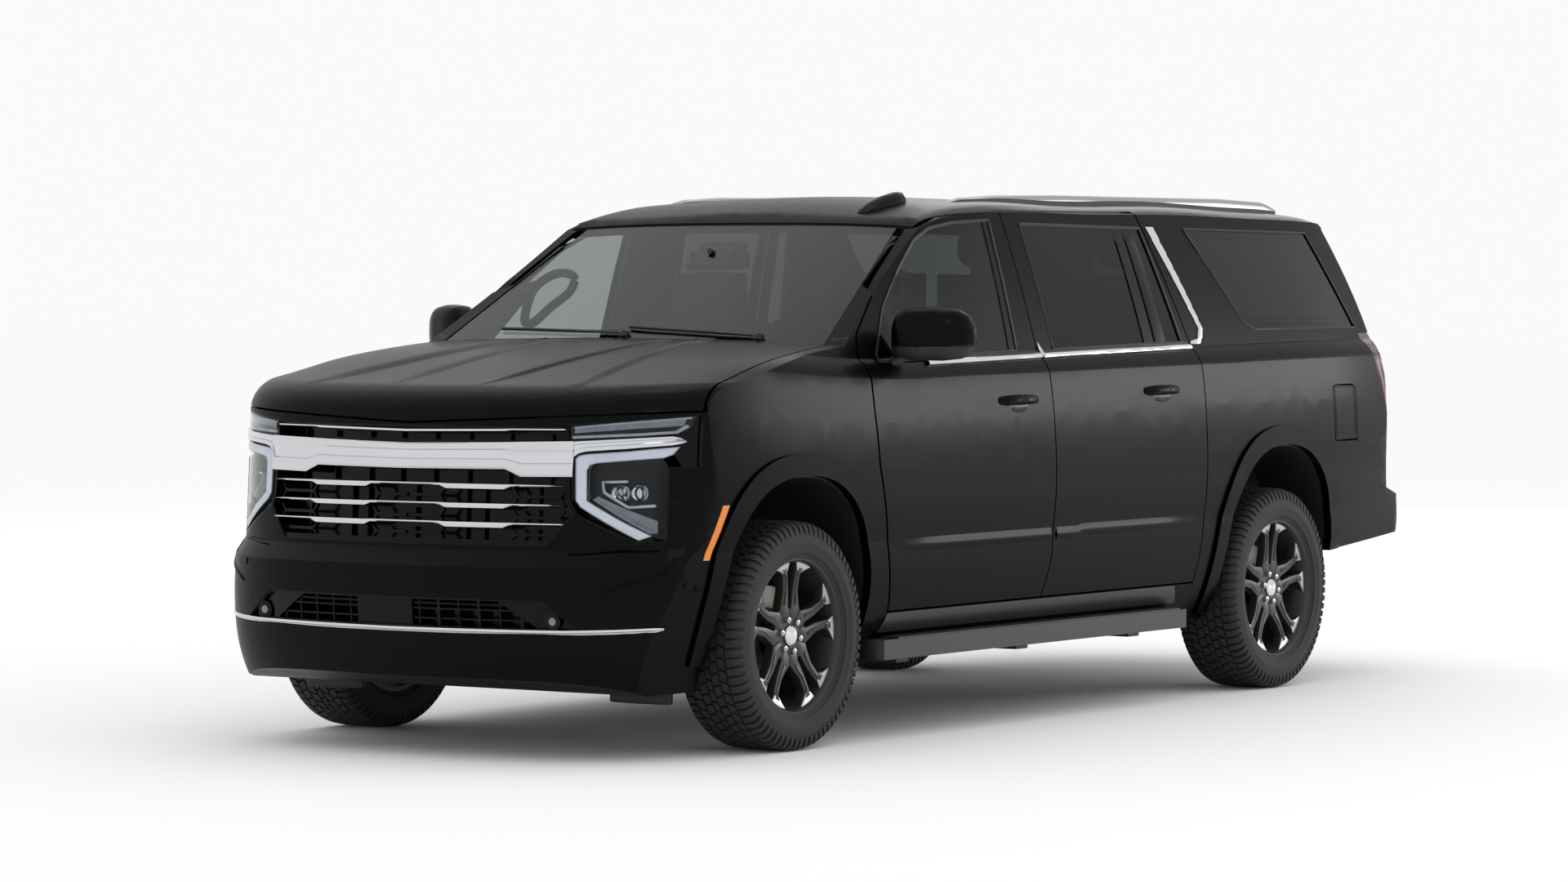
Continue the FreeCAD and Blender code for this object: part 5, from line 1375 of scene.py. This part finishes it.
@dataclass
class SideTrim:
    """Handles, belt line, window seals, pillar covers and the lower crease."""

    belt: tuple[Point, ...] = ((1262, 1312), (1000, 1320), (690, 1326), (230, 1335), (-300, 1345),
                               (-903, 1356))
    front_seal: tuple[Point, ...] = ((1316, 1329), (1159, 1511), (970, 1663), (840, 1757), (733, 1800),
                                     (591, 1820), (352, 1832), (354, 1352))
    rear_seal: tuple[Point, ...] = ((145, 1819), (95, 1354), (-862, 1371), (-735, 1809))
    quarter_seal: tuple[Point, ...] = ((-1070, 1809), (-2109, 1799), (-2361, 1417), (-1463, 1416),
                                       (-1373, 1442))
    crease_level: float = 675.0
    crease_ends: Point = (1225.0, -845.0)
    strip_start: Point = (1010.0, 1319.5)
    seal_rise: float = 13.0
    handle_half: float = 19.0
    handle_rise: float = 30.0
    handle_foot: float = 4.0
    handle_thick: float = 17.0

    def build(self) -> None:
        """Make the trim of both sides."""
        front = Skin(["front_left_door", "front_left_glass"], 7)
        rear = Skin(["rear_left_door", "rear_left_glass"], 7)
        wall = Skin(["body_sides", "quarter_glass", "arch_lips", "front_fenders", "rear_bumper"], 7)
        doors = (("front", front, (1258.0, 222.0), (322.0, 592.0, 1176.0), FRONT_DOOR),
                 ("rear", rear, (232.0, -903.0), (-716.0, -458.0, 1193.0), REAR_DOOR))
        for name, skin, span, grip, body in doors:
            self.belt_piece(name, skin, span, body)
            self.handle(name, skin, grip, body)
            self.crease(name, skin, span, body)
        pair_piece("front_window_seal", ribbon(list(self.front_seal), front.side, 6, 2.2, 3, 22, closed=True),
                   PLASTIC, FRONT_DOOR)
        pair_piece("rear_window_seal", ribbon(list(self.rear_seal), rear.side, 6, 2.2, 3, 22, closed=True),
                   PLASTIC, REAR_DOOR)
        add_piece("quarter_seals", both(ribbon(list(self.quarter_seal), wall.side, 4, 2.0, 1, 22,
                                               closed=True)), PLASTIC)
        pane = Skin(["rear_left_glass"]).side
        covers = patch([(-533, 1812), (-596, 1812), (-652, 1373), (-582, 1372)], pane, 60, 1, 6, 3)
        absorb(covers, patch([(-607, 1812), (-672, 1812), (-742, 1376), (-666, 1374)], pane, 60, 1, 6, 3))
        pair_piece("window_dividers", covers, PIANO, REAR_DOOR)
        sash = patch([(390, 1826), (360, 1828), (361, 1356), (402, 1354)], Skin(["front_left_glass"]).side,
                     60, 1, 5, 3)
        pair_piece("front_sash", sash, PIANO, FRONT_DOOR)
        blade = patch([(-778, 1814), (-835, 1814), (-1040, 1420), (-1000, 1366), (-924, 1362), (-925, 1374),
                       (-985, 1384), (-1006, 1424)], wall.side, 24, 4, 6, 4)
        add_piece("pillar_blades", both(blade), CHROME)
        sail = patch([(1306, 1334), (1170, 1496), (1150, 1500), (1146, 1348)],
                     Skin(["front_left_glass"]).side, 60, 1, 5, 3)
        pair_piece("mirror_sails", sail, PIANO, FRONT_DOOR)
        sill = patch([(1268, 440), (-760, 440), (-810, 372), (1300, 372)], wall.side, 22, 2, 4.0, 4)
        add_piece("rocker_covers", both(sill), STEP)
        lid = ribbon([(-2168, 980), (-2168, 1172), (-2150, 1180), (-2000, 1180), (-1990, 1172), (-1990, 980)],
                     Skin(["fuel_lid"]).side, 2.5, 1.2, 2, 22, closed=True)
        add_piece("fuel_lid_edge", lid, PAINT, "fuel_lid")

    def belt_piece(self, name: str, skin: Skin, span: Point, body: str) -> None:
        """Bright strip under a door's window.

        Args:
            name: Front or rear.
            skin: Outer surface of the door.
            span: Its front and rear ends as X in mm.
            body: Door body with %s for the side.
        """
        high, low = span
        rising = [(-x, z) for x, z in self.belt]
        inner = [(x, z) for x, z in self.belt if low < x < high]
        path = [(high, between(rising, -high)[0])] + inner + [(low, between(rising, -low)[0])]
        if name == "front":
            path[0] = self.strip_start
            path = [point for point in path if point[0] <= self.strip_start[0]]
        pair_piece("%s_belt_strip" % name, ribbon(path, skin.side, 8, 7, 3, 30), CHROME, body)
        gap = [(x, z + self.seal_rise) for x, z in path]
        pair_piece("%s_belt_seal" % name, ribbon(gap, skin.side, 6, 3, 3, 30), PLASTIC, body)

    def crease(self, name: str, skin: Skin, span: Point, body: str) -> None:
        """Lower pressed edge of a door.

        Args:
            name: Front or rear.
            skin: Outer surface of the door.
            span: Its front and rear ends as X in mm.
            body: Door body with %s for the side.
        """
        high, low = min(span[0], self.crease_ends[0]), max(span[1], self.crease_ends[1])
        rings = []
        count, taper, run = 22, 0.2, 6
        for index in range(count + 1):
            x = high + (low - high) * index / count
            from_end = index if name == "front" else count - index
            reach = min(1.0, taper + from_end / run)
            level = self.crease_level + (8 if x < 0 else 0)
            section = [(level + 34, 2), (level + 10, -3.5 * reach), (level, -6.5 * reach),
                       (level - 5, -5.5 * reach), (level - 26, 2)]
            rings.append([skin.side(x, z, depth) for z, depth in section])
        pair_piece("%s_door_crease" % name, loft(rings), PAINT, body)

    def handle(self, name: str, skin: Skin, grip: tuple[float, float, float], body: str) -> None:
        """Pull handle over a dark cup.

        Args:
            name: Front or rear.
            skin: Outer surface of the door.
            grip: Rear end, front end and height in mm.
            body: Door body with %s for the side.
        """
        low, high, level = grip
        middle = (low + high) / 2
        cup = oval(middle, level - 16, 74, 40)
        pair_piece("%s_handle_cup" % name, patch(cup, skin.side, 24, 2, 1.5, 3), PIANO, body)
        rings = []
        count = 16
        for index in range(count + 1):
            share = index / count
            x = low + (high - low) * share
            bow = math.sin(math.pi * min(1, max(0, share * 1.12 - 0.06)))
            rise = self.handle_rise * bow ** 0.45 + self.handle_foot
            inner = -(rise - self.handle_thick) if 0.12 < share < 0.88 else 2
            half = self.handle_half * (0.55 + 0.45 * math.sin(math.pi * share) ** 0.5)
            section = [(level - half, inner), (level - half, -rise * 0.55),
                       (level - half * 0.5, -rise * 0.94), (level + half * 0.2, -rise),
                       (level + half * 0.75, -rise * 0.84), (level + half, -rise * 0.4),
                       (level + half, inner)]
            rings.append([skin.side(x, z, depth) for z, depth in section])
        pair_piece("%s_handle" % name, loft(rings), PAINT, body)


@dataclass
class Mirrors:
    """Door mirrors: painted cap, dark lower shell, glass, signal lamp and arm."""

    inner: Point = (1192.0, 938.0)
    outer: Point = (1058.0, 1192.0)
    top: tuple[Point, ...] = ((0.0, 1462), (0.04, 1492), (0.18, 1514), (0.5, 1520), (0.8, 1511), (0.93, 1488),
                              (1.0, 1446))
    bottom: tuple[Point, ...] = ((0.0, 1338), (0.15, 1330), (0.6, 1328), (0.85, 1336), (0.95, 1358),
                                 (1.0, 1390))
    depth: tuple[Point, ...] = ((0.0, 44), (0.08, 64), (0.3, 78), (0.7, 76), (0.92, 56), (1.0, 22))
    split_level: float = 1384.0
    ring_steps: int = 28
    squareness: float = 0.6
    back_share: float = 0.62
    lean: float = 0.3

    def rings(self, low: float, high: float, shrink: float) -> list[list[Vector]]:
        """Sections across the housing, held between two heights.

        Args:
            low: Lowest level in mm.
            high: Highest level in mm.
            shrink: Share of the full depth.

        Returns:
            Rings from the inner end to the outer end.
        """
        rings = []
        count = 18
        for index in range(count + 1):
            share = (1 - math.cos(math.pi * index / count)) / 2
            x = self.inner[0] + (self.outer[0] - self.inner[0]) * share
            y = self.inner[1] + (self.outer[1] - self.inner[1]) * share
            top, bottom, depth = (between(table, share)[0] for table in (self.top, self.bottom, self.depth))
            ring = []
            for step in range(self.ring_steps):
                turn = math.tau * step / self.ring_steps
                ahead, up = math.cos(turn), math.sin(turn)
                reach = math.copysign(abs(ahead) ** self.squareness, ahead) * depth * shrink
                reach = reach if reach > 0 else reach * self.back_share
                level = (top + bottom) / 2 + math.copysign(abs(up) ** self.squareness,
                                                           up) * (top - bottom) / 2
                ring.append(mm(x + reach, y + reach * self.lean, min(high, max(low, level))))
            rings.append(ring)
        return rings

    def build(self) -> None:
        """Make both mirrors."""
        pair_piece("mirror_cap", loft(self.rings(self.split_level, 1600, 1.0)), PAINT, FRONT_DOOR,
                   replaces="%s_mirror")
        pair_piece("mirror_shell", loft(self.rings(1200, self.split_level - 5, 0.96)), PLASTIC, FRONT_DOOR)
        pair_piece("mirror_band", loft(self.rings(self.split_level - 8, self.split_level + 2, 0.9)), PLASTIC,
                   FRONT_DOOR)
        glass = []
        for share, low, high in ((0.07, 1368, 1458), (0.2, 1355, 1488), (0.75, 1355, 1492),
                                 (0.9, 1376, 1470)):
            x = self.inner[0] + (self.outer[0] - self.inner[0]) * share
            y = self.inner[1] + (self.outer[1] - self.inner[1]) * share
            back = between(self.depth, share)[0] * self.back_share
            glass.append([mm(x - back - shift, y - back * self.lean, z)
                          for shift, z in ((2.5, low), (2.5, high), (-6, high), (-6, low))])
        pair_piece("mirror_glass", loft(glass), SCREEN, FRONT_DOOR, "black_trim")
        arm = [mm(1180, 985, 1352), mm(1196, 962, 1334), mm(1212, 940, 1316), mm(1226, 912, 1302)]
        pair_piece("mirror_arm", tube(rounded(arm, 4), 30, 14, squash=0.6), PLASTIC, FRONT_DOOR)
        lamp = [mm(1050, 1190, 1404), mm(1072, 1186, 1402), mm(1110, 1160, 1398)]
        pair_piece("mirror_signal", tube(rounded(lamp, 5), 7, 10), LENS, FRONT_DOOR)


@dataclass
class RoofFittings:
    """Roof rails, aerial housing, rear spoiler and the high stop lamp."""

    rail_inner: float = 598.0
    rail_outer: float = 640.0
    rail_tops: tuple[Point, ...] = ((-2143, 1899), (-2105, 1912), (-2034, 1926), (-1690, 1935.5),
                                    (-439, 1935.5), (24, 1930), (276, 1917), (366, 1897))

    def build(self) -> None:
        """Make everything on the roof."""
        roof = Skin(["roof_panel"])
        rings = []
        feet = []
        first, last, count = self.rail_tops[0][0], self.rail_tops[-1][0], 48
        for index in range(count + 1):
            x = first + (last - first) * index / count
            top = between(self.rail_tops, x)[0]
            base = min(roof.top(x, self.rail_outer - 12, 0).z / MM, top - 4) - 6
            low, high = self.rail_inner, self.rail_outer
            lift = base + min(22, (top - base) * 0.6)
            section = ((low, lift), (low + 2, top - 14), (low + 8, top - 4), (low + 18, top),
                       (high - 14, top - 1), (high - 4, top - 9), (high, top - 22), (high, lift))
            rings.append([mm(x, y, max(z, lift)) for y, z in section])
            feet.append([mm(x, y, z) for y, z in ((low + 5, base), (low + 5, lift + 1), (high - 5, lift + 1),
                                                  (high - 5, base))])
        add_piece("roof_rail_pair", both(loft(rings)), SATIN, replaces=["roof_rails"])
        add_piece("roof_rail_feet", both(loft(feet)), PLASTIC)
        self.aerial(roof)
        self.spoiler()

    def aerial(self, roof: Skin) -> None:
        """Low fin near the roof's front edge.

        Args:
            roof: Outer surface of the roof.
        """
        rings = []
        for share, half, height in ((0.0, 20, 3), (0.06, 27, 14), (0.22, 31, 27), (0.5, 32, 36),
                                    (0.8, 31, 40), (0.95, 28, 37), (1.0, 22, 24)):
            x = 690 - 270 * share
            section = [(-half, -4), (-half * 0.9, height * 0.5), (-half * 0.45, height * 0.9), (0, height),
                       (half * 0.45, height * 0.9), (half * 0.9, height * 0.5), (half, -4)]
            rings.append([roof.top(x, 470 + y, 0) + Vector((0, 0, z * MM)) for y, z in section])
        add_piece("aerial_fin", loft(rings), PAINT)

    def spoiler(self) -> None:
        """Wing over the rear glass with a stop lamp in its edge."""
        stations = ((0.0, 0, -8), (400, 4, -4), (620, 14, 4), (720, 30, 14), (764, 44, 24))
        rings = []
        for row in spread(stations):
            y, drop, pull = row
            section = [(-2166, 1886), (-2200, 1889), (-2270, 1880), (-2316 + pull, 1868),
                       (-2326 + pull, 1860), (-2322 + pull, 1846), (-2300 + pull, 1838), (-2240, 1836),
                       (-2190, 1842)]
            rings.append([mm(x, y, z - drop * (1.0 if z > 1850 else 0.6)) for x, z in section])
        add_piece("rear_spoiler", loft(rings), PAINT, "liftgate")
        lamp = [mm(-2327 + abs(y) * 0.004, y, 1854 - abs(y) * 0.008) for y in range(-160, 161, 40)]
        add_piece("high_stop_lamp", tube(lamp, 6, 8), RED_LENS, "liftgate")


@dataclass
class FrontTop:
    """Wipers, washer jets and the raised lines of the hood."""

    wiper_rows: tuple[tuple[Point, Point, Point], ...] = (((1484, 560), (1474, 360), (1446, -30)),
                                                          ((1486, -20), (1476, -240), (1444, -600)))
    blade_x: tuple[float, ...] = (1472, 1468, 1452, 1442)
    jets: tuple[Point, ...] = ((1545, 330), (1545, 20))
    # Each raised line as its points, its width and its height.
    pressings: tuple[tuple[tuple[Point, ...], float, float], ...] = (
        (((1545, 400), (1800, 425), (2100, 470), (2400, 530), (2640, 590)), 75, 11),
        (((1530, 235), (1800, 232), (2100, 222), (2400, 208), (2660, 195)), 60, 8))

    def build(self) -> None:
        """Make the pieces between the hood and the windshield."""
        top = Skin(["windshield", "cowl_panel", "body_sides"])
        wiper = bmesh.new()
        for start, bend, end in self.wiper_rows:
            path = [Vector(start), Vector(bend), Vector(end)]
            arm = [top.top(spot.x, spot.y, -14) for spot in (path[0], path[0].lerp(path[1], 0.5), path[1])]
            absorb(wiper, tube(arm, 7, 8, squash=0.6))
            places = (start[1] - 40, bend[1], end[1] + 120, end[1])
            blade = [top.top(x, y, -9) for x, y in zip(self.blade_x, places)]
            absorb(wiper, tube(rounded(blade, 5), 6, 8))
            absorb(wiper, disc(17, 24, top.top(start[0], start[1], -8), Vector((-0.3, 0, 1)), 20, 4))
        add_piece("wipers", wiper, PLASTIC)
        hood = Skin(["hood"])
        lines = bmesh.new()
        for path, wide, proud in self.pressings:
            rings = []
            for index in range(25):
                share = index / 24
                x = path[0][0] + (path[-1][0] - path[0][0]) * share
                y = between(path, x)[0]
                rise = proud * min(1.0, share * 8 + 0.05, (1 - share) * 4 + 0.05)
                section = ((wide * 0.35, 1.5), (wide * 0.12, -rise * 0.7), (0, -rise),
                           (-wide * 0.3, -rise * 0.78), (-wide * 0.7, -rise * 0.3), (-wide, 1.5))
                rings.append([hood.top(x, y + shift, depth) for shift, depth in section])
            absorb(lines, loft(rings))
        for x, y in self.jets:
            absorb(lines, disc(8, 8, hood.top(x, y, 0), Vector((0, 0, 1)), 16, 2))
        add_piece("hood_pressings", both(lines), PAINT, "hood")


@dataclass
class Cabin:
    """Padded seats, steering wheel, displays, inside mirror, handles and door linings."""

    seat_width: float = 540.0
    seat_centre: float = 400.0
    front_back: float = 327.8
    middle_back: float = -575.0
    rear_back: float = -1563.1
    low_floor: float = 476.0
    high_floor: float = 661.0
    # Raised sides and seams of a pad, as shares of half its size, with the seams' depths in mm.
    bolster_start: float = 0.5
    bolster_run: float = 0.28
    bolster_edge: float = 0.86
    bolster_drop: float = 0.8
    side_seam: float = 0.56
    side_seam_half: float = 0.05
    side_seam_depth: float = 9.0
    cross_seam_half: float = 0.06
    cross_seam_depth: float = 7.0
    wheel_place: tuple[float, float, float] = (1111.4, 400.0, 1200.0)
    wheel_tilt: Point = (0.4067, 0.9135)
    wheel_radius: float = 190.0
    front_lining: tuple[Point, ...] = ((1225, 560), (1290, 800), (1300, 1230), (1150, 1275), (330, 1290),
                                       (300, 1230), (290, 560))
    rear_lining: tuple[Point, ...] = ((120, 560), (110, 1290), (-700, 1300), (-800, 1250), (-780, 900),
                                      (-560, 560))

    def pad(self, name: str, low: Point, high: Point, up: int, bolster: float, channels: Sequence[float],
            levels: int = 4) -> None:
        """Padded form with raised sides and sewn channels.

        Args:
            name: Piece name.
            low: Lowest corner in mm.
            high: Highest corner in mm.
            up: Axis on which the sitter's side faces, 0 for forward and 2 for up.
            bolster: Height of the raised sides in mm.
            channels: Cross seams as shares from -1 to 1 along the pad.
            levels: Subdivision cuts.
        """
        lowest, highest = Vector(low) * MM, Vector(high) * MM
        made = cushion_block(lowest, highest, 42, 12, levels)
        centre, half = (lowest + highest) / 2, (highest - lowest) / 2
        along = 2 - up
        for vert in made.verts:
            share = [(vert.co[axis] - centre[axis]) / half[axis] for axis in range(3)]
            if share[up] < 0.3:
                continue
            side = abs(share[1])
            climb = max(0.0, min(1.0, (side - self.bolster_start) / self.bolster_run))
            rise = bolster * climb * (1.0 if side < self.bolster_edge else self.bolster_drop)
            rise -= self.side_seam_depth * math.exp(-((side - self.side_seam) / self.side_seam_half) ** 2)
            if side < self.side_seam:
                rise -= sum(self.cross_seam_depth
                            * math.exp(-((share[along] - seam) / self.cross_seam_half) ** 2) for seam
                            in channels)
            vert.co[up] += rise * MM
        piece = add_piece(name, made, LEATHER, angle=60.0)

    def seat(self, name: str, back: float, centre: float, floor: float, width: float, levels: int,
             heads: Sequence[float]) -> None:
        """One seat or bench, with its base, pads and headrests.

        Args:
            name: Start of the pieces' names.
            back: X of its rear face in mm.
            centre: Y of its middle in mm.
            floor: Height of the floor under it in mm.
            width: Width in mm.
            levels: Subdivision cuts of its pads.
            heads: Y of each headrest from its middle in mm.
        """
        low, high = centre - width / 2, centre + width / 2
        base = cushion_block(mm(back + 145, centre - width * 0.39, floor + 4),
                             mm(back + 500, centre + width * 0.39, floor + 190), 18, 2, 2)
        add_piece(name + "_base", base, PLASTIC, slot="interior")
        self.pad(name + "_cushion", (back + 118, low + 4, floor + 186), (back + 586, high - 4, floor + 318),
                 2, 16, (-0.35, 0.2, 0.62), levels)
        self.pad(name + "_back", (back + 4, low + 6, floor + 200), (back + 120, high - 6, floor + 962), 0, 18,
                 (-0.55, -0.1, 0.35, 0.72), levels)
        for index, head in enumerate(heads):
            label = "%s_headrest_%d" % (name, index)
            self.pad(label, (back + 28, centre + head - 130, floor + 1004),
                     (back + 124, centre + head + 130, floor + 1152), 0, 0, (), 3)
            posts = bmesh.new()
            for shift in (-70, 70):
                spots = [mm(back + 74, centre + head + shift, floor + z) for z in (950, 985, 1020)]
                absorb(posts, tube(spots, 7, 8))
            add_piece(label + "_posts", posts, CHROME)

    def build(self) -> None:
        """Make the cabin's pieces."""
        for side in Side:
            for row, back, levels in (("front", self.front_back, 4), ("middle", self.middle_back, 3)):
                self.seat("%s_seat_%s" % (row, side.word), back, side.value * self.seat_centre,
                          self.low_floor, self.seat_width, levels, (0,))
        self.seat("rear_bench", self.rear_back, 0, self.high_floor, 2 * self.seat_width, 4, (-330, 0, 330))
        self.wheel()
        self.front()
        self.linings()

    def wheel(self) -> None:
        """Steering wheel with a leather rim, a hub pad and three spokes."""
        centre = mm(*self.wheel_place)
        fall, reach = self.wheel_tilt
        ahead, down, side = Vector((reach, 0, -fall)), Vector((-fall, 0, -reach)), Vector((0, 1, 0))
        turns = [math.tau * step / 48 for step in range(48)]
        rim = [centre + (down * math.cos(turn) + side * math.sin(turn)) * self.wheel_radius * MM
               for turn in turns]
        made = tube(rim, 15, 12, closed=True)
        absorb(made, disc(62, 40, centre - ahead * 0.02, ahead, 32, 8, 0.85))
        absorb(made, tube([centre, centre + ahead * 0.09], 24, 14))
        add_piece("steering_rim", made, LEATHER, slot="interior", replaces=["steering_wheel"])
        spokes = bmesh.new()
        for turn in (0, 90, 270):
            way = down * math.cos(math.radians(turn)) + side * math.sin(math.radians(turn))
            absorb(spokes, tube([centre + way * 0.05, centre + way * 0.182], 15, 10, squash=0.5))
        add_piece("steering_spokes", spokes, SATIN, slot="interior")

    def front(self) -> None:
        """Displays, vents, inside mirror, sensor cover and pillar handles."""
        screen = cushion_block(mm(1216, -150, 1205), mm(1234, 690, 1335), 5, 0.5, 2)
        add_piece("dash_displays", screen, SCREEN)
        vents = bmesh.new()
        for y in (-840, -420, 700):
            for level in (1206, 1222, 1238, 1254):
                absorb(vents, cushion_block(mm(1204, y, level), mm(1222, y + 150, level + 5), 2, 0.2, 1))
        add_piece("dash_vents", vents, SATIN, slot="interior")
        mirror = cushion_block(mm(905, -128, 1650), mm(936, 128, 1716), 12, 3, 2)
        absorb(mirror, tube([mm(930, 0, 1700), mm(985, 0, 1718)], 12, 10))
        add_piece("inside_mirror", mirror, PLASTIC, slot="interior")
        screen_skin = Skin(["windshield"])
        cover = patch([(1035, 75), (890, 95), (890, -95), (1035, -75)], screen_skin.top, 40, 34, -8, 4)
        add_piece("sensor_cover", cover, PLASTIC, slot="interior")
        loop = [mm(x, 742, z) for x, z in ((1120, 1460), (1065, 1572), (925, 1632), (810, 1622), (835, 1566),
                                           (955, 1508), (1065, 1452))]
        add_piece("pillar_handles", both(tube(rounded(loop, 5, True), 17, 10, closed=True)), CABIN)
        lid = cushion_block(mm(640, -112, 884), mm(960, 112, 925), 14, 6, 3)
        piece = add_piece("console_lid", lid, LEATHER, angle=60.0)

    def linings(self) -> None:
        """Inner door panels with armrests, inlays and speakers."""
        for name, body, outline, middle in (("front", FRONT_DOOR, self.front_lining, 780.0),
                                            ("rear", REAR_DOOR, self.rear_lining, -330.0)):
            skin = Skin([body % "left"])
            made = patch(list(outline), skin.inner, 90, 2, 9, 5)
            pair_piece(name + "_door_lining", made, CABIN, body)
            rest = ribbon([(middle - 270, 905), (middle + 60, 912), (middle + 280, 940)], skin.inner, 34, 58,
                          2, 40, 0.5)
            pair_piece(name + "_door_armrest", rest, LEATHER, body, "interior")
            trim = ribbon([(middle - 330, 1120), (middle + 250, 1135)], skin.inner, 12, 15, 2, 60, 0.4)
            pair_piece(name + "_door_inlay", trim, SATIN, body, "interior")
            speaker = patch(oval(middle + 250, 700, 85, 85), skin.inner, 50, 2, 14, 4)
            pair_piece(name + "_door_speaker", speaker, PLASTIC, body, "interior")


@dataclass
class Tail:
    """Rear bumper and arch lips, rear lamps, gate fittings and the exhaust."""

    lower_edge: Point = (-1992.0, 526.0)
    lower_rise: float = 0.0692
    arch_limit: float = -1.9
    guide_heights: Point = (1040.0, 1360.0)
    plate_half: float = 153.0
    plate_heights: Point = (912.0, 1062.0)
    pipe: tuple[Point, ...] = ((-2330, 380), (-2440, 352), (-2540, 345), (-2625, 345))
    pipe_side: float = -640.0

    def lower_corners(self) -> None:
        """Rear bumper and arch lips whose lower edge runs level behind the wheels, as photographed."""
        spot = mm(self.lower_edge[0], 0, self.lower_edge[1])
        aim = Vector((-self.lower_rise, 0, -1)).normalized()
        for node, label in (("rear_bumper", "rear_bumper_cover"), ("arch_lips", "wheel_arch_lips")):
            made = trimmed(node, spot, aim, self.arch_limit)
            even_normals(add_piece(label, made, PAINT, replaces=[node], angle=NODE_CREASE))

    def build(self) -> None:
        """Make the pieces at the rear."""
        self.lower_corners()
        gate = Skin(["liftgate", "liftgate_glass"], 7)
        bumper = Skin(["rear_bumper"])
        lamps = Skin(["tail_lamps"])
        guides = bmesh.new()
        low, high = self.guide_heights
        for y in (880, 840):
            absorb(guides, ribbon([(y, low), (y - 6, high)], lamps.rear, 9, 3, 2, 40))
        for x_top, x_low in ((-2430, -2520), (-2470, -2560)):
            absorb(guides, ribbon([(x_top, 1350), (x_low, 1050)], lamps.side, 8, 3, 2, 40))
        add_piece("tail_lamp_guides", both(guides), RED_GUIDE)
        recess = patch([(-270, 1085), (270, 1085), (235, 905), (-235, 905)], gate.rear, 60, 3, 3, 4)
        add_piece("plate_recess", recess, PIANO, "liftgate")
        (low, high), half = self.plate_heights, self.plate_half
        plate = patch([(-half, high), (half, high), (half, low), (-half, low)], gate.rear, 60, -4, 7, 1)
        add_piece("blank_plate", plate, SATIN, "liftgate", "bright")
        grip = ribbon([(-330, 1112), (330, 1112)], gate.rear, 14, 14, 2, 50, 0.4)
        add_piece("gate_handle", grip, CHROME, "liftgate")
        seal = ribbon([(735, 1452), (640, 1776), (0, 1785), (-640, 1776), (-735, 1452), (0, 1450)], gate.rear,
                      7, 2, 2, 40, closed=True)
        add_piece("gate_window_seal", seal, PLASTIC, "liftgate")
        wiper = tube([gate.rear(y, z, -12) for y, z in ((0, 1475), (-120, 1490), (-260, 1500))], 7, 8)
        absorb(wiper, tube([gate.rear(y, z, -7) for y, z in ((-20, 1482), (-200, 1500), (-420, 1512))], 5, 8))
        absorb(wiper, disc(20, 20, gate.rear(0, 1475, -6), Vector((-1, 0, 0)), 20, 4))
        add_piece("rear_wiper", wiper, PLASTIC, "liftgate")
        pads = patch([(-2820, 560), (-2820, -560), (-2700, -600), (-2700, 600)], bumper.top, 80, 2, 3, 3)
        add_piece("bumper_step_pad", pads, PLASTIC)
        # The reflectors share the red light guides' finish, so they carry its faint glow: painted light on
        # parts that are no lamp.
        marks = patch([(690, 672), (850, 672), (850, 636), (690, 636)], bumper.rear, 20, 2, 3, 2)
        add_piece("rear_reflectors", both(marks), RED_GUIDE)
        pipe = tube([mm(x, self.pipe_side, z) for x, z in self.pipe], 34, 20)
        add_piece("exhaust_tip", pipe, CHROME)


def main() -> None:
    """Build the vehicle's looks in order."""
    Studio().build()
    Shell().dress()
    Wheels().build()
    Grille().build()
    Headlamps().build()
    SideTrim().build()
    Mirrors().build()
    RoofFittings().build()
    FrontTop().build()
    Cabin().build()
    Tail().build()


if __name__ == "__main__":
    main()
